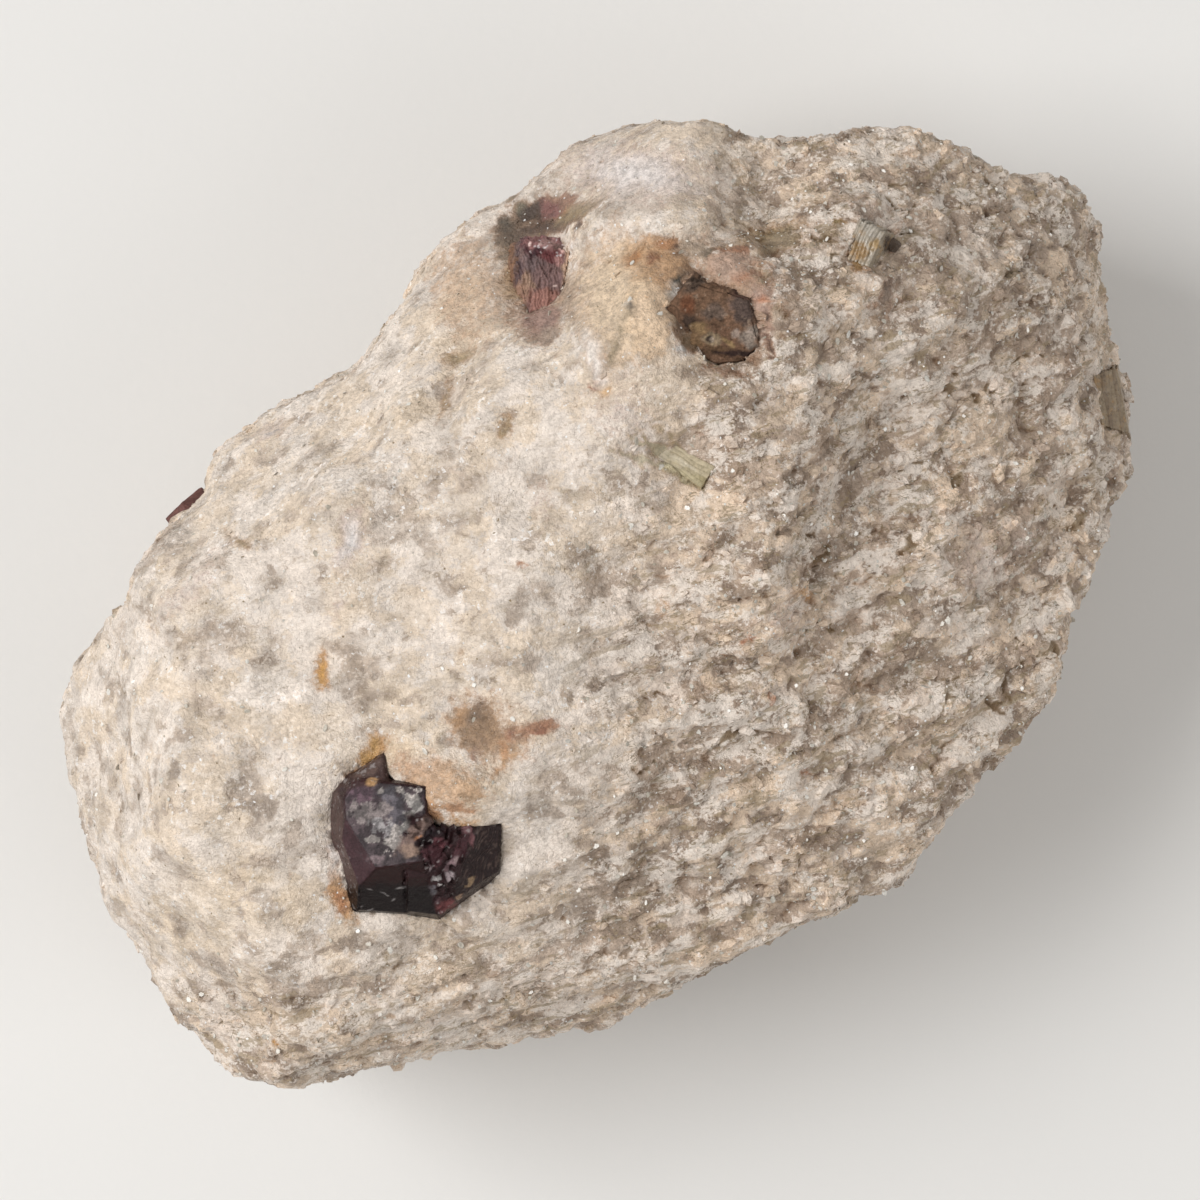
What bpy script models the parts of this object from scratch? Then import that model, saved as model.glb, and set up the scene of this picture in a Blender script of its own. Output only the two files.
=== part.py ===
"""A garnet specimen: almandine crystals and mica books grown in a pale, coarse, layered matrix stone.

The stone lies on its flattest break. Seen from above, X runs to the right and Y runs up, and Z is up. The
origin is the middle of the stone's box, on the surface that the stone rests on. Every size below is in
millimetres, and MM turns it into Blender's metres.
"""

import math
from dataclasses import dataclass

import bmesh
import bpy
import numpy as np
from mathutils import Vector, noise
from mathutils.bvhtree import BVHTree

MM = 0.001
STONE_HEIGHT = 43.0
SEAT_GAP = 0.3
REMESH_STEP = 0.85
STONE_TRIANGLES = 8200
EDGE_SOFTENING = 5
WELD = 0.01

# Places on the upper side are given as they are seen from straight above the middle, from EYE_HEIGHT,
# against a rule that lies level with the stone's rim, at RIM_HEIGHT.
EYE_HEIGHT = 388.0
RIM_HEIGHT = 23.0

# The stone's outline from above at its widest, clockwise from its left tip, as (x, y).
OUTLINE = (
    (-39.2, -8.5), (-37.9, -4.7), (-35.6, -2.0), (-32.9, 0.3), (-32.4, 2.2), (-30.9, 4.8),
    (-29.5, 5.7), (-28.0, 7.1), (-27.6, 9.5), (-26.9, 11.5), (-24.7, 14.1), (-19.6, 16.2),
    (-16.8, 18.2), (-13.6, 22.6),
    (-12.0, 25.6), (-9.4, 27.7), (-5.2, 29.8), (-3.2, 31.9), (-0.8, 33.6), (2.2, 34.8), (7.8, 34.9),
    (10.2, 34.0), (13.2, 33.6), (20.5, 34.0), (23.8, 33.6), (29.6, 31.0), (35.4, 30.4), (37.3, 27.6),
    (36.8, 25.0), (37.8, 21.2), (39.3, 14.4), (38.9, 9.6), (36.2, 2.6), (34.3, -2.2), (32.5, -6.6),
    (29.8, -11.2), (26.6, -13.8), (22.6, -20.0), (20.6, -21.3), (17.0, -21.7), (10.8, -25.5),
    (7.0, -27.4),
    (2.6, -29.9), (-5.0, -31.3), (-16.8, -33.7), (-20.4, -34.7), (-25.6, -34.0), (-28.2, -32.0),
    (-31.8, -28.0), (-35.6, -21.6), (-36.4, -18.2), (-37.9, -13.8),
)


@dataclass(frozen=True)
class Facet:
    """A flat break or crystal face. It looks towards azimuth, in degrees anticlockwise from +X as seen
    from above, and leans tilt degrees away from straight up. It passes through a point."""

    azimuth: float
    tilt: float
    through: tuple

    def normal(self):
        turn = math.radians(self.azimuth)
        lean = math.radians(self.tilt)
        level = math.sin(lean)
        return Vector((level * math.cos(turn), level * math.sin(turn), math.cos(lean)))


@dataclass(frozen=True)
class Swell:
    """A lump, or with a negative height a hollow, on the upper side: an oval that fades out at its rim."""

    x: float
    y: float
    length: float
    width: float
    angle: float
    height: float


@dataclass(frozen=True)
class Ledge:
    """A layer's broken edge on the upper side: the stone steps down below the line from start to end, and
    comes back to its old height over the distance reach."""

    start: tuple
    end: tuple
    drop: float
    reach: float


@dataclass(frozen=True)
class Crystal:
    """A crystal seated in the stone. Each of its blocks is a list of facets that are measured from the
    seat, which is the stone's surface straight above or below (x, y), lifted by rise."""

    name: str
    x: float
    y: float
    rise: float
    blocks: tuple
    colour: tuple
    roughness: float


STONE_FACETS = (
    # the broad left face, the right face and the two that fall away below them
    Facet(165, 9, (-14, -2, 40.5)),
    Facet(-25, 13, (2, 2, 41)),
    Facet(-8, 33, (14, 8, 39)),
    Facet(-52, 33, (8, -12, 37.5)),
    Facet(-68, 27, (-10, -26.5, 35.5)),
    # the top end, which leans back, and the bevels along the rim
    Facet(82, 40, (8, 25, 37.5)),
    Facet(48, 38, (24, 26, 31)),
    Facet(127, 56, (-18, 15, 30)),
    Facet(180, 58, (-36.5, -9, 27)),
    Facet(214, 54, (-33, -26, 27)),
    Facet(5, 63, (36, 14, 24)),
    Facet(-36, 62, (30.4, -9.8, 26)),
    Facet(-72, 60, (-6, -31, 28.5)),
    # the underside
    Facet(188, 128, (-36, -10, 9)),
    Facet(128, 122, (-20, 14, 9)),
    Facet(84, 126, (8, 32, 9)),
    Facet(0, 130, (36, 12, 10)),
    Facet(-42, 124, (26, -14, 9)),
    Facet(-78, 126, (-8, -30, 8)),
    Facet(40, 148, (20, 20, 2)),
    Facet(230, 150, (-22, -22, 2)),
)

SWELLS = (
    # the humps and the saddle of the top end
    Swell(1.5, 31.5, 9, 4.5, 8, 1.6),
    Swell(20, 31, 6, 4, 0, 1.4),
    Swell(12.5, 29, 6, 3.5, 120, -2.6),
    Swell(6, 27.5, 10, 1.8, -8, 0.7),
    # lumps and hollows of the right face
    Swell(15, 24.5, 6, 3.5, 10, 1.2),
    Swell(26, 23.5, 5, 3.5, -20, 1.1),
    Swell(22.5, 18.5, 3.5, 4, 0, 1.0),
    Swell(19, 7, 12, 3.4, 78, -2.3),
    Swell(15.5, -3.5, 5, 2.6, 70, -1.2),
    Swell(27.5, 3, 6, 5, 20, 1.5),
    Swell(33.5, 6, 10, 2.4, 65, -0.9),
    Swell(12.5, 1, 4.5, 5, 0, 1.0),
    Swell(7.5, 11, 5, 2.2, 80, -1.1),
    Swell(22.5, -10.5, 3, 3, 0, -1.1),
    # the middle and the broad left face
    Swell(0.5, 2.5, 3, 2.4, 20, -0.9),
    Swell(1, 14, 4, 5, 0, 0.8),
    Swell(-7, -1, 4, 6, 10, 0.7),
    Swell(-10.8, 15, 1.6, 6.5, -18, -0.7),
    Swell(-18, 3.5, 4, 5, 0, 0.5),
    Swell(-28, -3, 6, 4, 0, -0.6),
    Swell(-28.5, -12, 7, 6, 0, 0.8),
    # the seats of the crystals: a pit, a pocket, a collar and the print that a lost crystal left
    Swell(8.8, 20.4, 4.6, 4.0, -20, -1.7),
    Swell(-4.0, 23.0, 6.2, 2.6, 96, -2.0),
    Swell(-4.0, 28.2, 4.2, 1.5, 15, -1.2),
    Swell(-9.6, -14.0, 3.2, 1.9, -20, 1.5),
    Swell(-14.5, -22.8, 4.0, 1.8, 5, 0.9),
    Swell(-8.6, -9.6, 3.0, 2.2, -35, -0.9),
)

LEDGES = (
    Ledge((2.5, -9.9), (14, -9.2), 1.5, 5),
    Ledge((-2, -5.8), (13, -3.6), 0.9, 4),
    Ledge((16, -6.4), (28, -2.4), 1.3, 5),
    Ledge((17, -12.5), (28, -8.0), 1.3, 5),
    Ledge((0, -15), (11, -12.8), 0.8, 4),
    Ledge((5, -20.6), (18, -17.8), 1.1, 4),
    Ledge((-6, -24.6), (6, -22.6), 0.9, 4),
    Ledge((-17, -28.6), (-3, -26.6), 0.8, 3.5),
    Ledge((-2, 26.0), (17, 28.6), 0.9, 4),
    Ledge((24, 10.5), (34, 16), 0.9, 4),
)

# How far a lump's oval fades out past its own size, how wide the broken edge of a ledge is, and how a
# ledge tapers off from its full drop in the middle towards its ends.
SWELL_FADE = 1.6
LEDGE_EDGE = 0.8
LEDGE_TAPER = 1.7
LEDGE_FULL = 0.2

# The layering of the whole stone: its upright direction, how far apart the layers break, how proud, the
# share of a layer in which its lower side breaks off, the sawtooth's mean, and how much the coarse and
# the fine roughness bend it. It is plain to the lower right of a line and calm on the left face.
LAYER_UP = (-0.2, 0.85, 0.5)
LAYER_SPACING = 4.6
LAYER_PROUD = 0.55
LAYER_BREAK = 0.16
LAYER_MEAN = 0.45
LAYER_COARSE_BEND = 0.7
LAYER_FINE_BEND = 0.35
LAYER_CALM = 0.35
LAYER_LINE_SLOPE = 0.8
LAYER_LINE_START = -24.0
LAYER_LINE_WIDTH = 30.0
LAYER_LINE_LEAD = 1.2

# The roughness of the breaks: how wide and how high its coarse and its fine lumps are. The underside
# keeps only a part of it, so that the stone lies level. A side wall takes a part of the upper side's
# lumps and ledges, by how far it faces up, and of the underside's calm, by how far it faces down.
COARSE_WIDTH = 11.0
COARSE_HEIGHT = 0.9
FINE_WIDTH = 4.2
FINE_HEIGHT = 0.42
UNDERSIDE_CALM = 0.75
UP_GAIN = 1.6
DOWN_GAIN = 2.5
DOWN_START = 0.8

GARNET_COLOUR = (0.045, 0.016, 0.020)
STAINED_GARNET_COLOUR = (0.150, 0.070, 0.040)
MICA_COLOUR = (0.330, 0.270, 0.150)
STONE_COLOUR = (0.580, 0.500, 0.420)

# The large crystal: the block with the flat top face, the broken shoulder that steps down to its
# right, and the fin that stands behind it.
LARGE_BLOCK = (
    Facet(115, 8, (0, 0, 0)),
    Facet(200, 34, (-2.5, 0.45, -0.2)),
    Facet(276, 42, (-0.65, -1.16, 0.1)),
    Facet(142, 64, (-3.85, 4.2, -1.7)),
    Facet(180, 64, (-4.25, 1.8, -1.8)),
    Facet(200, 64, (-3.75, -0.6, -1.7)),
    Facet(268, 76, (0, -4.6, -3.3)),
    Facet(84, 78, (0.5, 4.5, -0.6)),
    Facet(0, 80, (2.0, 0, 0)),
    Facet(235, 104, (-3.6, -4.0, -4)),
    Facet(60, 112, (1.0, 4.2, -4)),
    Facet(0, 180, (0, 0, -8)),
)
BROKEN_SHOULDER = (
    Facet(335, 19, (1.8, 0, -0.35)),
    Facet(337, 28, (4.7, 0.2, -1.2)),
    Facet(292, 42, (1.75, -0.9, 0.2)),
    Facet(355, 80, (7.1, 0, -2.6)),
    Facet(334, 80, (6.95, -1.8, -3.0)),
    Facet(304, 76, (4.9, -3.3, -3.6)),
    Facet(268, 76, (0, -4.6, -3.3)),
    Facet(93, 84, (5, 1.65, -1.8)),
    Facet(180, 90, (0.6, 0, -3)),
    Facet(330, 112, (6.6, -3, -5)),
    Facet(0, 180, (0, 0, -7.4)),
)
FIN = (
    Facet(124, 78, (-2.0, 5.8, -1.3)),
    Facet(10, 80, (-0.8, 5.7, -1.3)),
    Facet(98, 16, (-2, 4.6, -1.0)),
    Facet(270, 90, (-2, 2.6, -2)),
    Facet(180, 90, (-3.4, 4, -2)),
    Facet(0, 180, (0, 0, -4)),
)
# The crystal near the top left, a striated stump in its pocket.
UPPER_BLOCK = (
    Facet(108, 22, (0, 0, 0)),
    Facet(80, 60, (0, 2.7, -0.6)),
    Facet(186, 74, (-1.6, 0, -0.3)),
    Facet(356, 70, (1.5, 0, 0.2)),
    Facet(150, 66, (-1.4, 1.9, -0.5)),
    Facet(320, 66, (1.2, -2.0, 0.3)),
    Facet(236, 70, (-0.9, -2.4, 0.2)),
    Facet(276, 70, (0, -3.2, 0.4)),
    Facet(190, 104, (-2.1, 0, -3)),
    Facet(350, 104, (2.1, 0, -3)),
    Facet(90, 104, (0, 3.6, -3)),
    Facet(270, 104, (0, -3.8, -3)),
    Facet(0, 180, (0, 0, -5)),
)
# The iron-stained crystal, whose broad flat face lies sunk in its pit.
STAINED_BLOCK = (
    Facet(240, 7, (0, 0, 0)),
    Facet(128, 68, (-2.5, 2.1, 0)),
    Facet(74, 70, (0.4, 2.7, 0)),
    Facet(10, 70, (2.9, 0, 0)),
    Facet(276, 64, (0.6, -2.5, 0)),
    Facet(196, 68, (-3.2, 0, 0)),
    Facet(240, 64, (-2.2, -2.1, 0)),
    Facet(320, 64, (2.4, -2.0, 0)),
    Facet(60, 108, (2.4, 2.4, -3)),
    Facet(240, 108, (-2.6, -2.2, -3)),
    Facet(330, 108, (2.8, -2.2, -3)),
    Facet(150, 108, (-2.8, 1.6, -3)),
    Facet(0, 180, (0, 0, -5.0)),
)
# The crystal in the left side, of which a sliver shows from above: the twelve faces of a dodecahedron,
# rolled a little so that no face lies level.
SIDE_RADIUS = 1.8
SIDE_ROLL = -3
DODECAHEDRON_TILTS = ((0, 45), (45, 90))
SIDE_GARNET_AT = (-29.4, 5.9, 18.0)

# Tabular mica: stacks of sheets that stand on edge in the stone.
UPPER_MICA = (
    Facet(150, 20, (-0.3, 0.2, 0.1)),
    Facet(335, 74, (1.0, 0, 0)),
    Facet(155, 82, (-1.2, 0, 0)),
    Facet(62, 80, (0, 1.6, 0)),
    Facet(245, 78, (0, -1.6, 0)),
    Facet(0, 180, (0, 0, -2.4)),
)
MICA_FAN = (
    Facet(55, 16, (0, 0.2, 0)),
    Facet(60, 76, (0.2, 0.9, 0)),
    Facet(236, 78, (0, -0.8, 0)),
    Facet(150, 80, (-2.5, 1.2, 0)),
    Facet(330, 76, (1.9, -0.9, 0)),
    Facet(0, 180, (0, 0, -2.2)),
)
RIM_MICA = (
    Facet(10, 34, (0, 0, 0.2)),
    Facet(10, 82, (1.0, 0, 0)),
    Facet(190, 82, (-1.1, 0, 0)),
    Facet(98, 80, (0, 2.2, 0)),
    Facet(262, 80, (0, -2.1, 0)),
    Facet(0, 180, (0, 0, -2.8)),
)


# The edge of the cube that each crystal's blocks are cut from.
BLANK = 60.0


def side_block():
    """The facets of the dodecahedron, a radius away from a middle that lies a radius under the seat."""
    facets = []
    for azimuth, tilt in DODECAHEDRON_TILTS:
        for turn in range(4):
            for flip in (tilt, 180 - tilt):
                facet = Facet(azimuth + 90 * turn + SIDE_ROLL, flip, (0, 0, 0))
                point = facet.normal() * SIDE_RADIUS
                facets.append(Facet(facet.azimuth, flip, (point.x, point.y, point.z - SIDE_RADIUS)))
    return tuple(facets)


# Every crystal of the upper side, in the order in which they are seated.
LARGE_BLOCKS = (LARGE_BLOCK, BROKEN_SHOULDER, FIN)
CRYSTALS = (
    Crystal("garnet_large", -14.5, -18.1, 1.8, LARGE_BLOCKS, GARNET_COLOUR, 0.25),
    Crystal("garnet_upper", -3.9, 22.9, 0.6, (UPPER_BLOCK,), GARNET_COLOUR, 0.35),
    Crystal("garnet_stained", 8.6, 19.9, 0.4, (STAINED_BLOCK,), STAINED_GARNET_COLOUR, 0.55),
    Crystal("mica_book_upper", 19.7, 25.9, 0.5, (UPPER_MICA,), MICA_COLOUR, 0.30),
    Crystal("mica_fan", 6.2, 10.0, 0.1, (MICA_FAN,), MICA_COLOUR, 0.30),
    Crystal("mica_book_rim", 37.4, 14.6, 0.4, (RIM_MICA,), MICA_COLOUR, 0.30),
)
SIDE_GARNET_ROUGHNESS = 0.3
STONE_ROUGHNESS = 0.8


def clear_scene():
    """Empties the scene, so that only the specimen is in it."""
    for item in list(bpy.data.objects):
        bpy.data.objects.remove(item, do_unlink=True)


def new_collection(name):
    """A collection of that name, linked to the scene."""
    made = bpy.data.collections.new(name)
    bpy.context.scene.collection.children.link(made)
    return made


def finish(name, colour, roughness):
    """A plain material of that colour."""
    made = bpy.data.materials.new(name)
    made.use_nodes = True
    shader = made.node_tree.nodes["Principled BSDF"]
    shader.inputs["Base Color"].default_value = (*colour, 1.0)
    shader.inputs["Roughness"].default_value = roughness
    shader.inputs["Metallic"].default_value = 0.0
    made.diffuse_color = (*colour, 1.0)
    return made


def chip(bm, facet, origin, grow=0.0):
    """Breaks the body off at the facet, moved out by grow, and closes it with one flat face."""
    normal = facet.normal()
    point = (Vector(facet.through) + origin + normal * grow) * MM
    everything = bm.verts[:] + bm.edges[:] + bm.faces[:]
    cut = bmesh.ops.bisect_plane(
        bm, geom=everything, dist=1e-7, plane_co=point, plane_no=normal, clear_outer=True
    )
    edges = [item for item in cut["geom_cut"] if isinstance(item, bmesh.types.BMEdge)]
    if edges:
        bmesh.ops.holes_fill(bm, edges=edges, sides=0)


def outline_slab():
    """A slab of the stone's full height with its outline, made from a flat curve."""
    curve = bpy.data.curves.new("outline", "CURVE")
    curve.dimensions = "2D"
    curve.fill_mode = "BOTH"
    curve.extrude = STONE_HEIGHT / 2 * MM
    spline = curve.splines.new("POLY")
    spline.points.add(len(OUTLINE) - 1)
    for point, (x, y) in zip(spline.points, OUTLINE):
        point.co = (x * MM, y * MM, 0, 1)
    spline.use_cyclic_u = True
    guide = bpy.data.objects.new("outline", curve)
    guide.location.z = STONE_HEIGHT / 2 * MM
    bpy.context.scene.collection.objects.link(guide)
    bpy.context.view_layer.update()
    graph = bpy.context.evaluated_depsgraph_get()
    slab = bpy.data.meshes.new_from_object(guide.evaluated_get(graph))
    slab.transform(guide.matrix_world)
    bpy.data.objects.remove(guide)
    bm = bmesh.new()
    bm.from_mesh(slab)
    bmesh.ops.remove_doubles(bm, verts=bm.verts[:], dist=WELD * MM)
    bmesh.ops.recalc_face_normals(bm, faces=bm.faces[:])
    bpy.data.meshes.remove(slab)
    return bm


def evaluated_copy(holder):
    """The mesh that the object's modifiers make, as a new mesh."""
    bpy.context.view_layer.update()
    graph = bpy.context.evaluated_depsgraph_get()
    return bpy.data.meshes.new_from_object(holder.evaluated_get(graph))


def broken_block():
    """The stone as its breaks leave it: flat facets with slightly worn edges, on an even fine net."""
    bm = outline_slab()
    for facet in STONE_FACETS:
        chip(bm, facet, Vector((0, 0, 0)))
    mesh = bpy.data.meshes.new("broken_block")
    bm.to_mesh(mesh)
    bm.free()
    holder = bpy.data.objects.new("broken_block", mesh)
    bpy.context.scene.collection.objects.link(holder)
    remesh = holder.modifiers.new("net", "REMESH")
    remesh.mode = "VOXEL"
    remesh.voxel_size = REMESH_STEP * MM
    soften = holder.modifiers.new("worn_edges", "SMOOTH")
    soften.iterations = EDGE_SOFTENING
    net = evaluated_copy(holder)
    bpy.data.objects.remove(holder)
    return net


def as_seen(points):
    """Each point's place against the rule at the rim's height, as seen from EYE_HEIGHT."""
    return points[:, :2] * ((EYE_HEIGHT - RIM_HEIGHT) / (EYE_HEIGHT - points[:, 2]))[:, None]


def fade(distance):
    """1 at distance 0, falling smoothly to 0 at distance 1 and beyond."""
    near = np.clip(1 - distance, 0, 1)
    return near * near * (3 - 2 * near)


def swells_at(seen):
    """How much the lumps and hollows raise each point, from its place as seen from above."""
    total = np.zeros(len(seen))
    for swell in SWELLS:
        turn = math.radians(swell.angle)
        dx = seen[:, 0] - swell.x
        dy = seen[:, 1] - swell.y
        along = dx * math.cos(turn) + dy * math.sin(turn)
        across = dy * math.cos(turn) - dx * math.sin(turn)
        total += swell.height * fade(np.hypot(along / swell.length, across / swell.width) / SWELL_FADE)
    return total


def ledges_at(seen):
    """How much the ledges lower each point, as a negative height, from its place as seen from above."""
    total = np.zeros(len(seen))
    for ledge in LEDGES:
        start = np.array(ledge.start)
        run = np.array(ledge.end) - start
        length = np.hypot(*run)
        along = (seen - start) @ run / length
        below = ((seen[:, 0] - start[0]) * run[1] - (seen[:, 1] - start[1]) * run[0]) / length
        middle = fade(np.abs(along / length - 0.5) * LEDGE_TAPER - LEDGE_FULL)
        step = 1 - fade(below / LEDGE_EDGE)
        back = fade(np.clip(below, 0, None) / ledge.reach)
        total -= ledge.drop * step * back * middle
    return total


def rough_at(points, scale, seed, octaves=3):
    """Fractal noise of about -1 to 1 at each point, with features about scale millimetres across."""
    shift = Vector((seed * 7.3, seed * 3.1, seed * 11.7))
    return np.array([noise.fractal(Vector(p) / scale + shift, 1.0, 2.0, octaves) for p in points])


def layers_at(points, bend):
    """A sawtooth across the layering: each layer rises slowly and breaks off short on its lower side."""
    up = np.array(LAYER_UP) / np.linalg.norm(LAYER_UP)
    phase = points @ up / LAYER_SPACING + bend
    part = phase - np.floor(phase)
    rise = np.clip(part / LAYER_BREAK, 0, 1)
    return rise * (1 - part) - LAYER_MEAN


def carve(net):
    """Moves the fine net's points into the stone's real relief, and grinds its foot level."""
    count = len(net.vertices)
    flat = np.empty(count * 3, np.float32)
    net.vertices.foreach_get("co", flat)
    points = flat.reshape(-1, 3).astype(float) / MM
    normals = np.empty(count * 3, np.float32)
    net.vertices.foreach_get("normal", normals)
    normals = normals.reshape(-1, 3).astype(float)
    facing_up = np.clip(normals[:, 2] * UP_GAIN, 0, 1)
    facing_down = np.clip(-normals[:, 2] * DOWN_GAIN - DOWN_START, 0, 1)
    coarse = rough_at(points, COARSE_WIDTH, 1)
    fine = rough_at(points, FINE_WIDTH, 2)
    past_line = points[:, 0] - points[:, 1] * LAYER_LINE_SLOPE - LAYER_LINE_START
    layered = LAYER_CALM + (1 - LAYER_CALM) * fade(LAYER_LINE_LEAD - past_line / LAYER_LINE_WIDTH)
    relief = COARSE_HEIGHT * coarse + FINE_HEIGHT * fine
    bend = LAYER_COARSE_BEND * coarse + LAYER_FINE_BEND * fine
    relief += LAYER_PROUD * layered * layers_at(points, bend)
    relief *= 1 - UNDERSIDE_CALM * facing_down
    points += normals * relief[:, None]
    seen = as_seen(points)
    points[:, 2] += facing_up * (swells_at(seen) + ledges_at(seen))
    points[:, 2] = np.maximum(points[:, 2], 0)
    net.vertices.foreach_set("co", (points * MM).astype(np.float32).ravel())
    net.update()


def centre_box(net):
    """Shifts the stone sideways so that the middle of its box is over the origin."""
    flat = np.empty(len(net.vertices) * 3, np.float32)
    net.vertices.foreach_get("co", flat)
    points = flat.reshape(-1, 3)
    middle = (points.min(axis=0) + points.max(axis=0)) / 2
    points[:, :2] -= middle[:2]
    net.vertices.foreach_set("co", points.ravel())
    net.update()
    return Vector((-float(middle[0]), -float(middle[1]), 0)) / MM


def surface_at(net, seen, shift):
    """The point of the stone's upper side that is seen from above at that place."""
    bm = bmesh.new()
    bm.from_mesh(net)
    tree = BVHTree.FromBMesh(bm)
    bm.free()
    eye = Vector((0, 0, EYE_HEIGHT)) + shift
    place = Vector((*seen, RIM_HEIGHT)) + shift
    hit = tree.ray_cast(eye * MM, place - eye)
    return hit[0] / MM


def faceted_body(name, facets, seat, grow=0.0):
    """A block cut from a cube by the facets, which are measured from seat and moved out by grow."""
    bm = bmesh.new()
    bmesh.ops.create_cube(bm, size=BLANK * MM)
    bmesh.ops.translate(bm, verts=bm.verts[:], vec=seat * MM)
    for facet in facets:
        chip(bm, facet, seat, grow)
    bmesh.ops.recalc_face_normals(bm, faces=bm.faces[:])
    mesh = bpy.data.meshes.new(name)
    bm.to_mesh(mesh)
    bm.free()
    return bpy.data.objects.new(name, mesh)


def helper(item, cutters):
    """Puts a cutter or a joined block in the helpers' collection, out of the render."""
    cutters.objects.link(item)
    item.hide_render = True
    item.display_type = "WIRE"
    return item


def joined_body(name, blocks, seat, cutters, grow=0.0):
    """The blocks as one body: the first holds a Boolean union with each of the others."""
    body = faceted_body(name, blocks[0], seat, grow)
    for number, facets in enumerate(blocks[1:], 1):
        other = helper(faceted_body(f"{name}_block_{number}", facets, seat, grow), cutters)
        union = body.modifiers.new(f"with_block_{number}", "BOOLEAN")
        union.operation = "UNION"
        union.solver = "EXACT"
        union.object = other
    return body


def seat_crystal(name, blocks, seat, colour, roughness, stone, parts, cutters):
    """Makes one crystal and cuts its pocket, which is larger by the seat gap, into the stone."""
    body = joined_body(name, blocks, seat, cutters)
    body.data.materials.append(finish(name, colour, roughness))
    parts.objects.link(body)
    pocket = helper(joined_body(f"{name}_pocket", blocks, seat, cutters, SEAT_GAP), cutters)
    cut = stone.modifiers.new(f"{name}_pocket", "BOOLEAN")
    cut.operation = "DIFFERENCE"
    cut.solver = "EXACT"
    cut.object = pocket
    return body


def build():
    """Builds the stone, then seats each crystal in it."""
    clear_scene()
    parts = new_collection("garnet_in_matrix")
    cutters = new_collection("cutters")
    net = broken_block()
    carve(net)
    shift = centre_box(net)
    stone = bpy.data.objects.new("matrix", net)
    stone.data.materials.clear()
    stone.data.materials.append(finish("matrix", STONE_COLOUR, STONE_ROUGHNESS))
    parts.objects.link(stone)
    thin = stone.modifiers.new("fewer_faces", "DECIMATE")
    thin.decimate_type = "COLLAPSE"
    thin.use_collapse_triangulate = True
    net.calc_loop_triangles()
    thin.ratio = STONE_TRIANGLES / len(net.loop_triangles)
    for crystal in CRYSTALS:
        seat = surface_at(net, (crystal.x, crystal.y), shift) + Vector((0, 0, crystal.rise))
        seat_crystal(
            crystal.name, crystal.blocks, seat, crystal.colour, crystal.roughness, stone, parts, cutters
        )
    seat = Vector(SIDE_GARNET_AT) + shift + Vector((0, 0, SIDE_RADIUS))
    blocks = (side_block(),)
    seat_crystal("garnet_side", blocks, seat, GARNET_COLOUR, SIDE_GARNET_ROUGHNESS, stone, parts, cutters)


build()
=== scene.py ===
"""The look of a garnet specimen: dark almandine crystals and mica books grown in a pale, layered rock.

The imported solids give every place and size. Each solid is replaced by a finer mesh of the same form, which
carries the rock's grains, ledges and crevices, the crystals' worn edges and the mica's sheets. Sizes below are
in millimetres, and MM turns them into metres. A place on the upper side is given as it is seen by the
camera, which looks straight down, against a rule that lies level with the stone's rim.
"""

import itertools
import logging
import math
from dataclasses import dataclass
from enum import Enum
from typing import Sequence

import bmesh
import bpy
import numpy as np
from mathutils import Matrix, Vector
from mathutils.bvhtree import BVHTree


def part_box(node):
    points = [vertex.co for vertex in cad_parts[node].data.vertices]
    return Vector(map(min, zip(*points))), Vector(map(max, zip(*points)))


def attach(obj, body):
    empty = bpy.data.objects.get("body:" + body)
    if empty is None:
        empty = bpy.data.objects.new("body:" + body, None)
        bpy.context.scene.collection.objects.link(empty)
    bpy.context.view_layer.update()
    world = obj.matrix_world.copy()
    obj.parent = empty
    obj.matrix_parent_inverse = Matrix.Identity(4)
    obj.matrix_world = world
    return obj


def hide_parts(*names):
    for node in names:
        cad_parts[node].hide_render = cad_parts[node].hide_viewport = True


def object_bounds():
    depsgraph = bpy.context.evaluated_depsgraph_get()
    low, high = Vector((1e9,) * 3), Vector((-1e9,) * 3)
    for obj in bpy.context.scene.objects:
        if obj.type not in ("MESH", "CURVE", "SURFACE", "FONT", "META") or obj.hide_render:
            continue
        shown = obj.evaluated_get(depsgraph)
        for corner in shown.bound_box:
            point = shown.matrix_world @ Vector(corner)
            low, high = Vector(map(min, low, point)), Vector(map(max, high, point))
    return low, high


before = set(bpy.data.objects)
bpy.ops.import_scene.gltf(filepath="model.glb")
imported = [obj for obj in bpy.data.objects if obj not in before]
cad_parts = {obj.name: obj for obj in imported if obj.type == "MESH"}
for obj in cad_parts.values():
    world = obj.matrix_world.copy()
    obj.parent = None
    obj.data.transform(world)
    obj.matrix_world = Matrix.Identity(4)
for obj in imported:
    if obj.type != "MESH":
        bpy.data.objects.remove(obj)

MM = 0.001
CAMERA_HEIGHT = 388.0
RIM_HEIGHT = 23.0
LENS = 150.0
SENSOR = 36.0
CAD_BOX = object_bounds()
LOG = logging.getLogger("specimen")

Colour = tuple[float, float, float]


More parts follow.
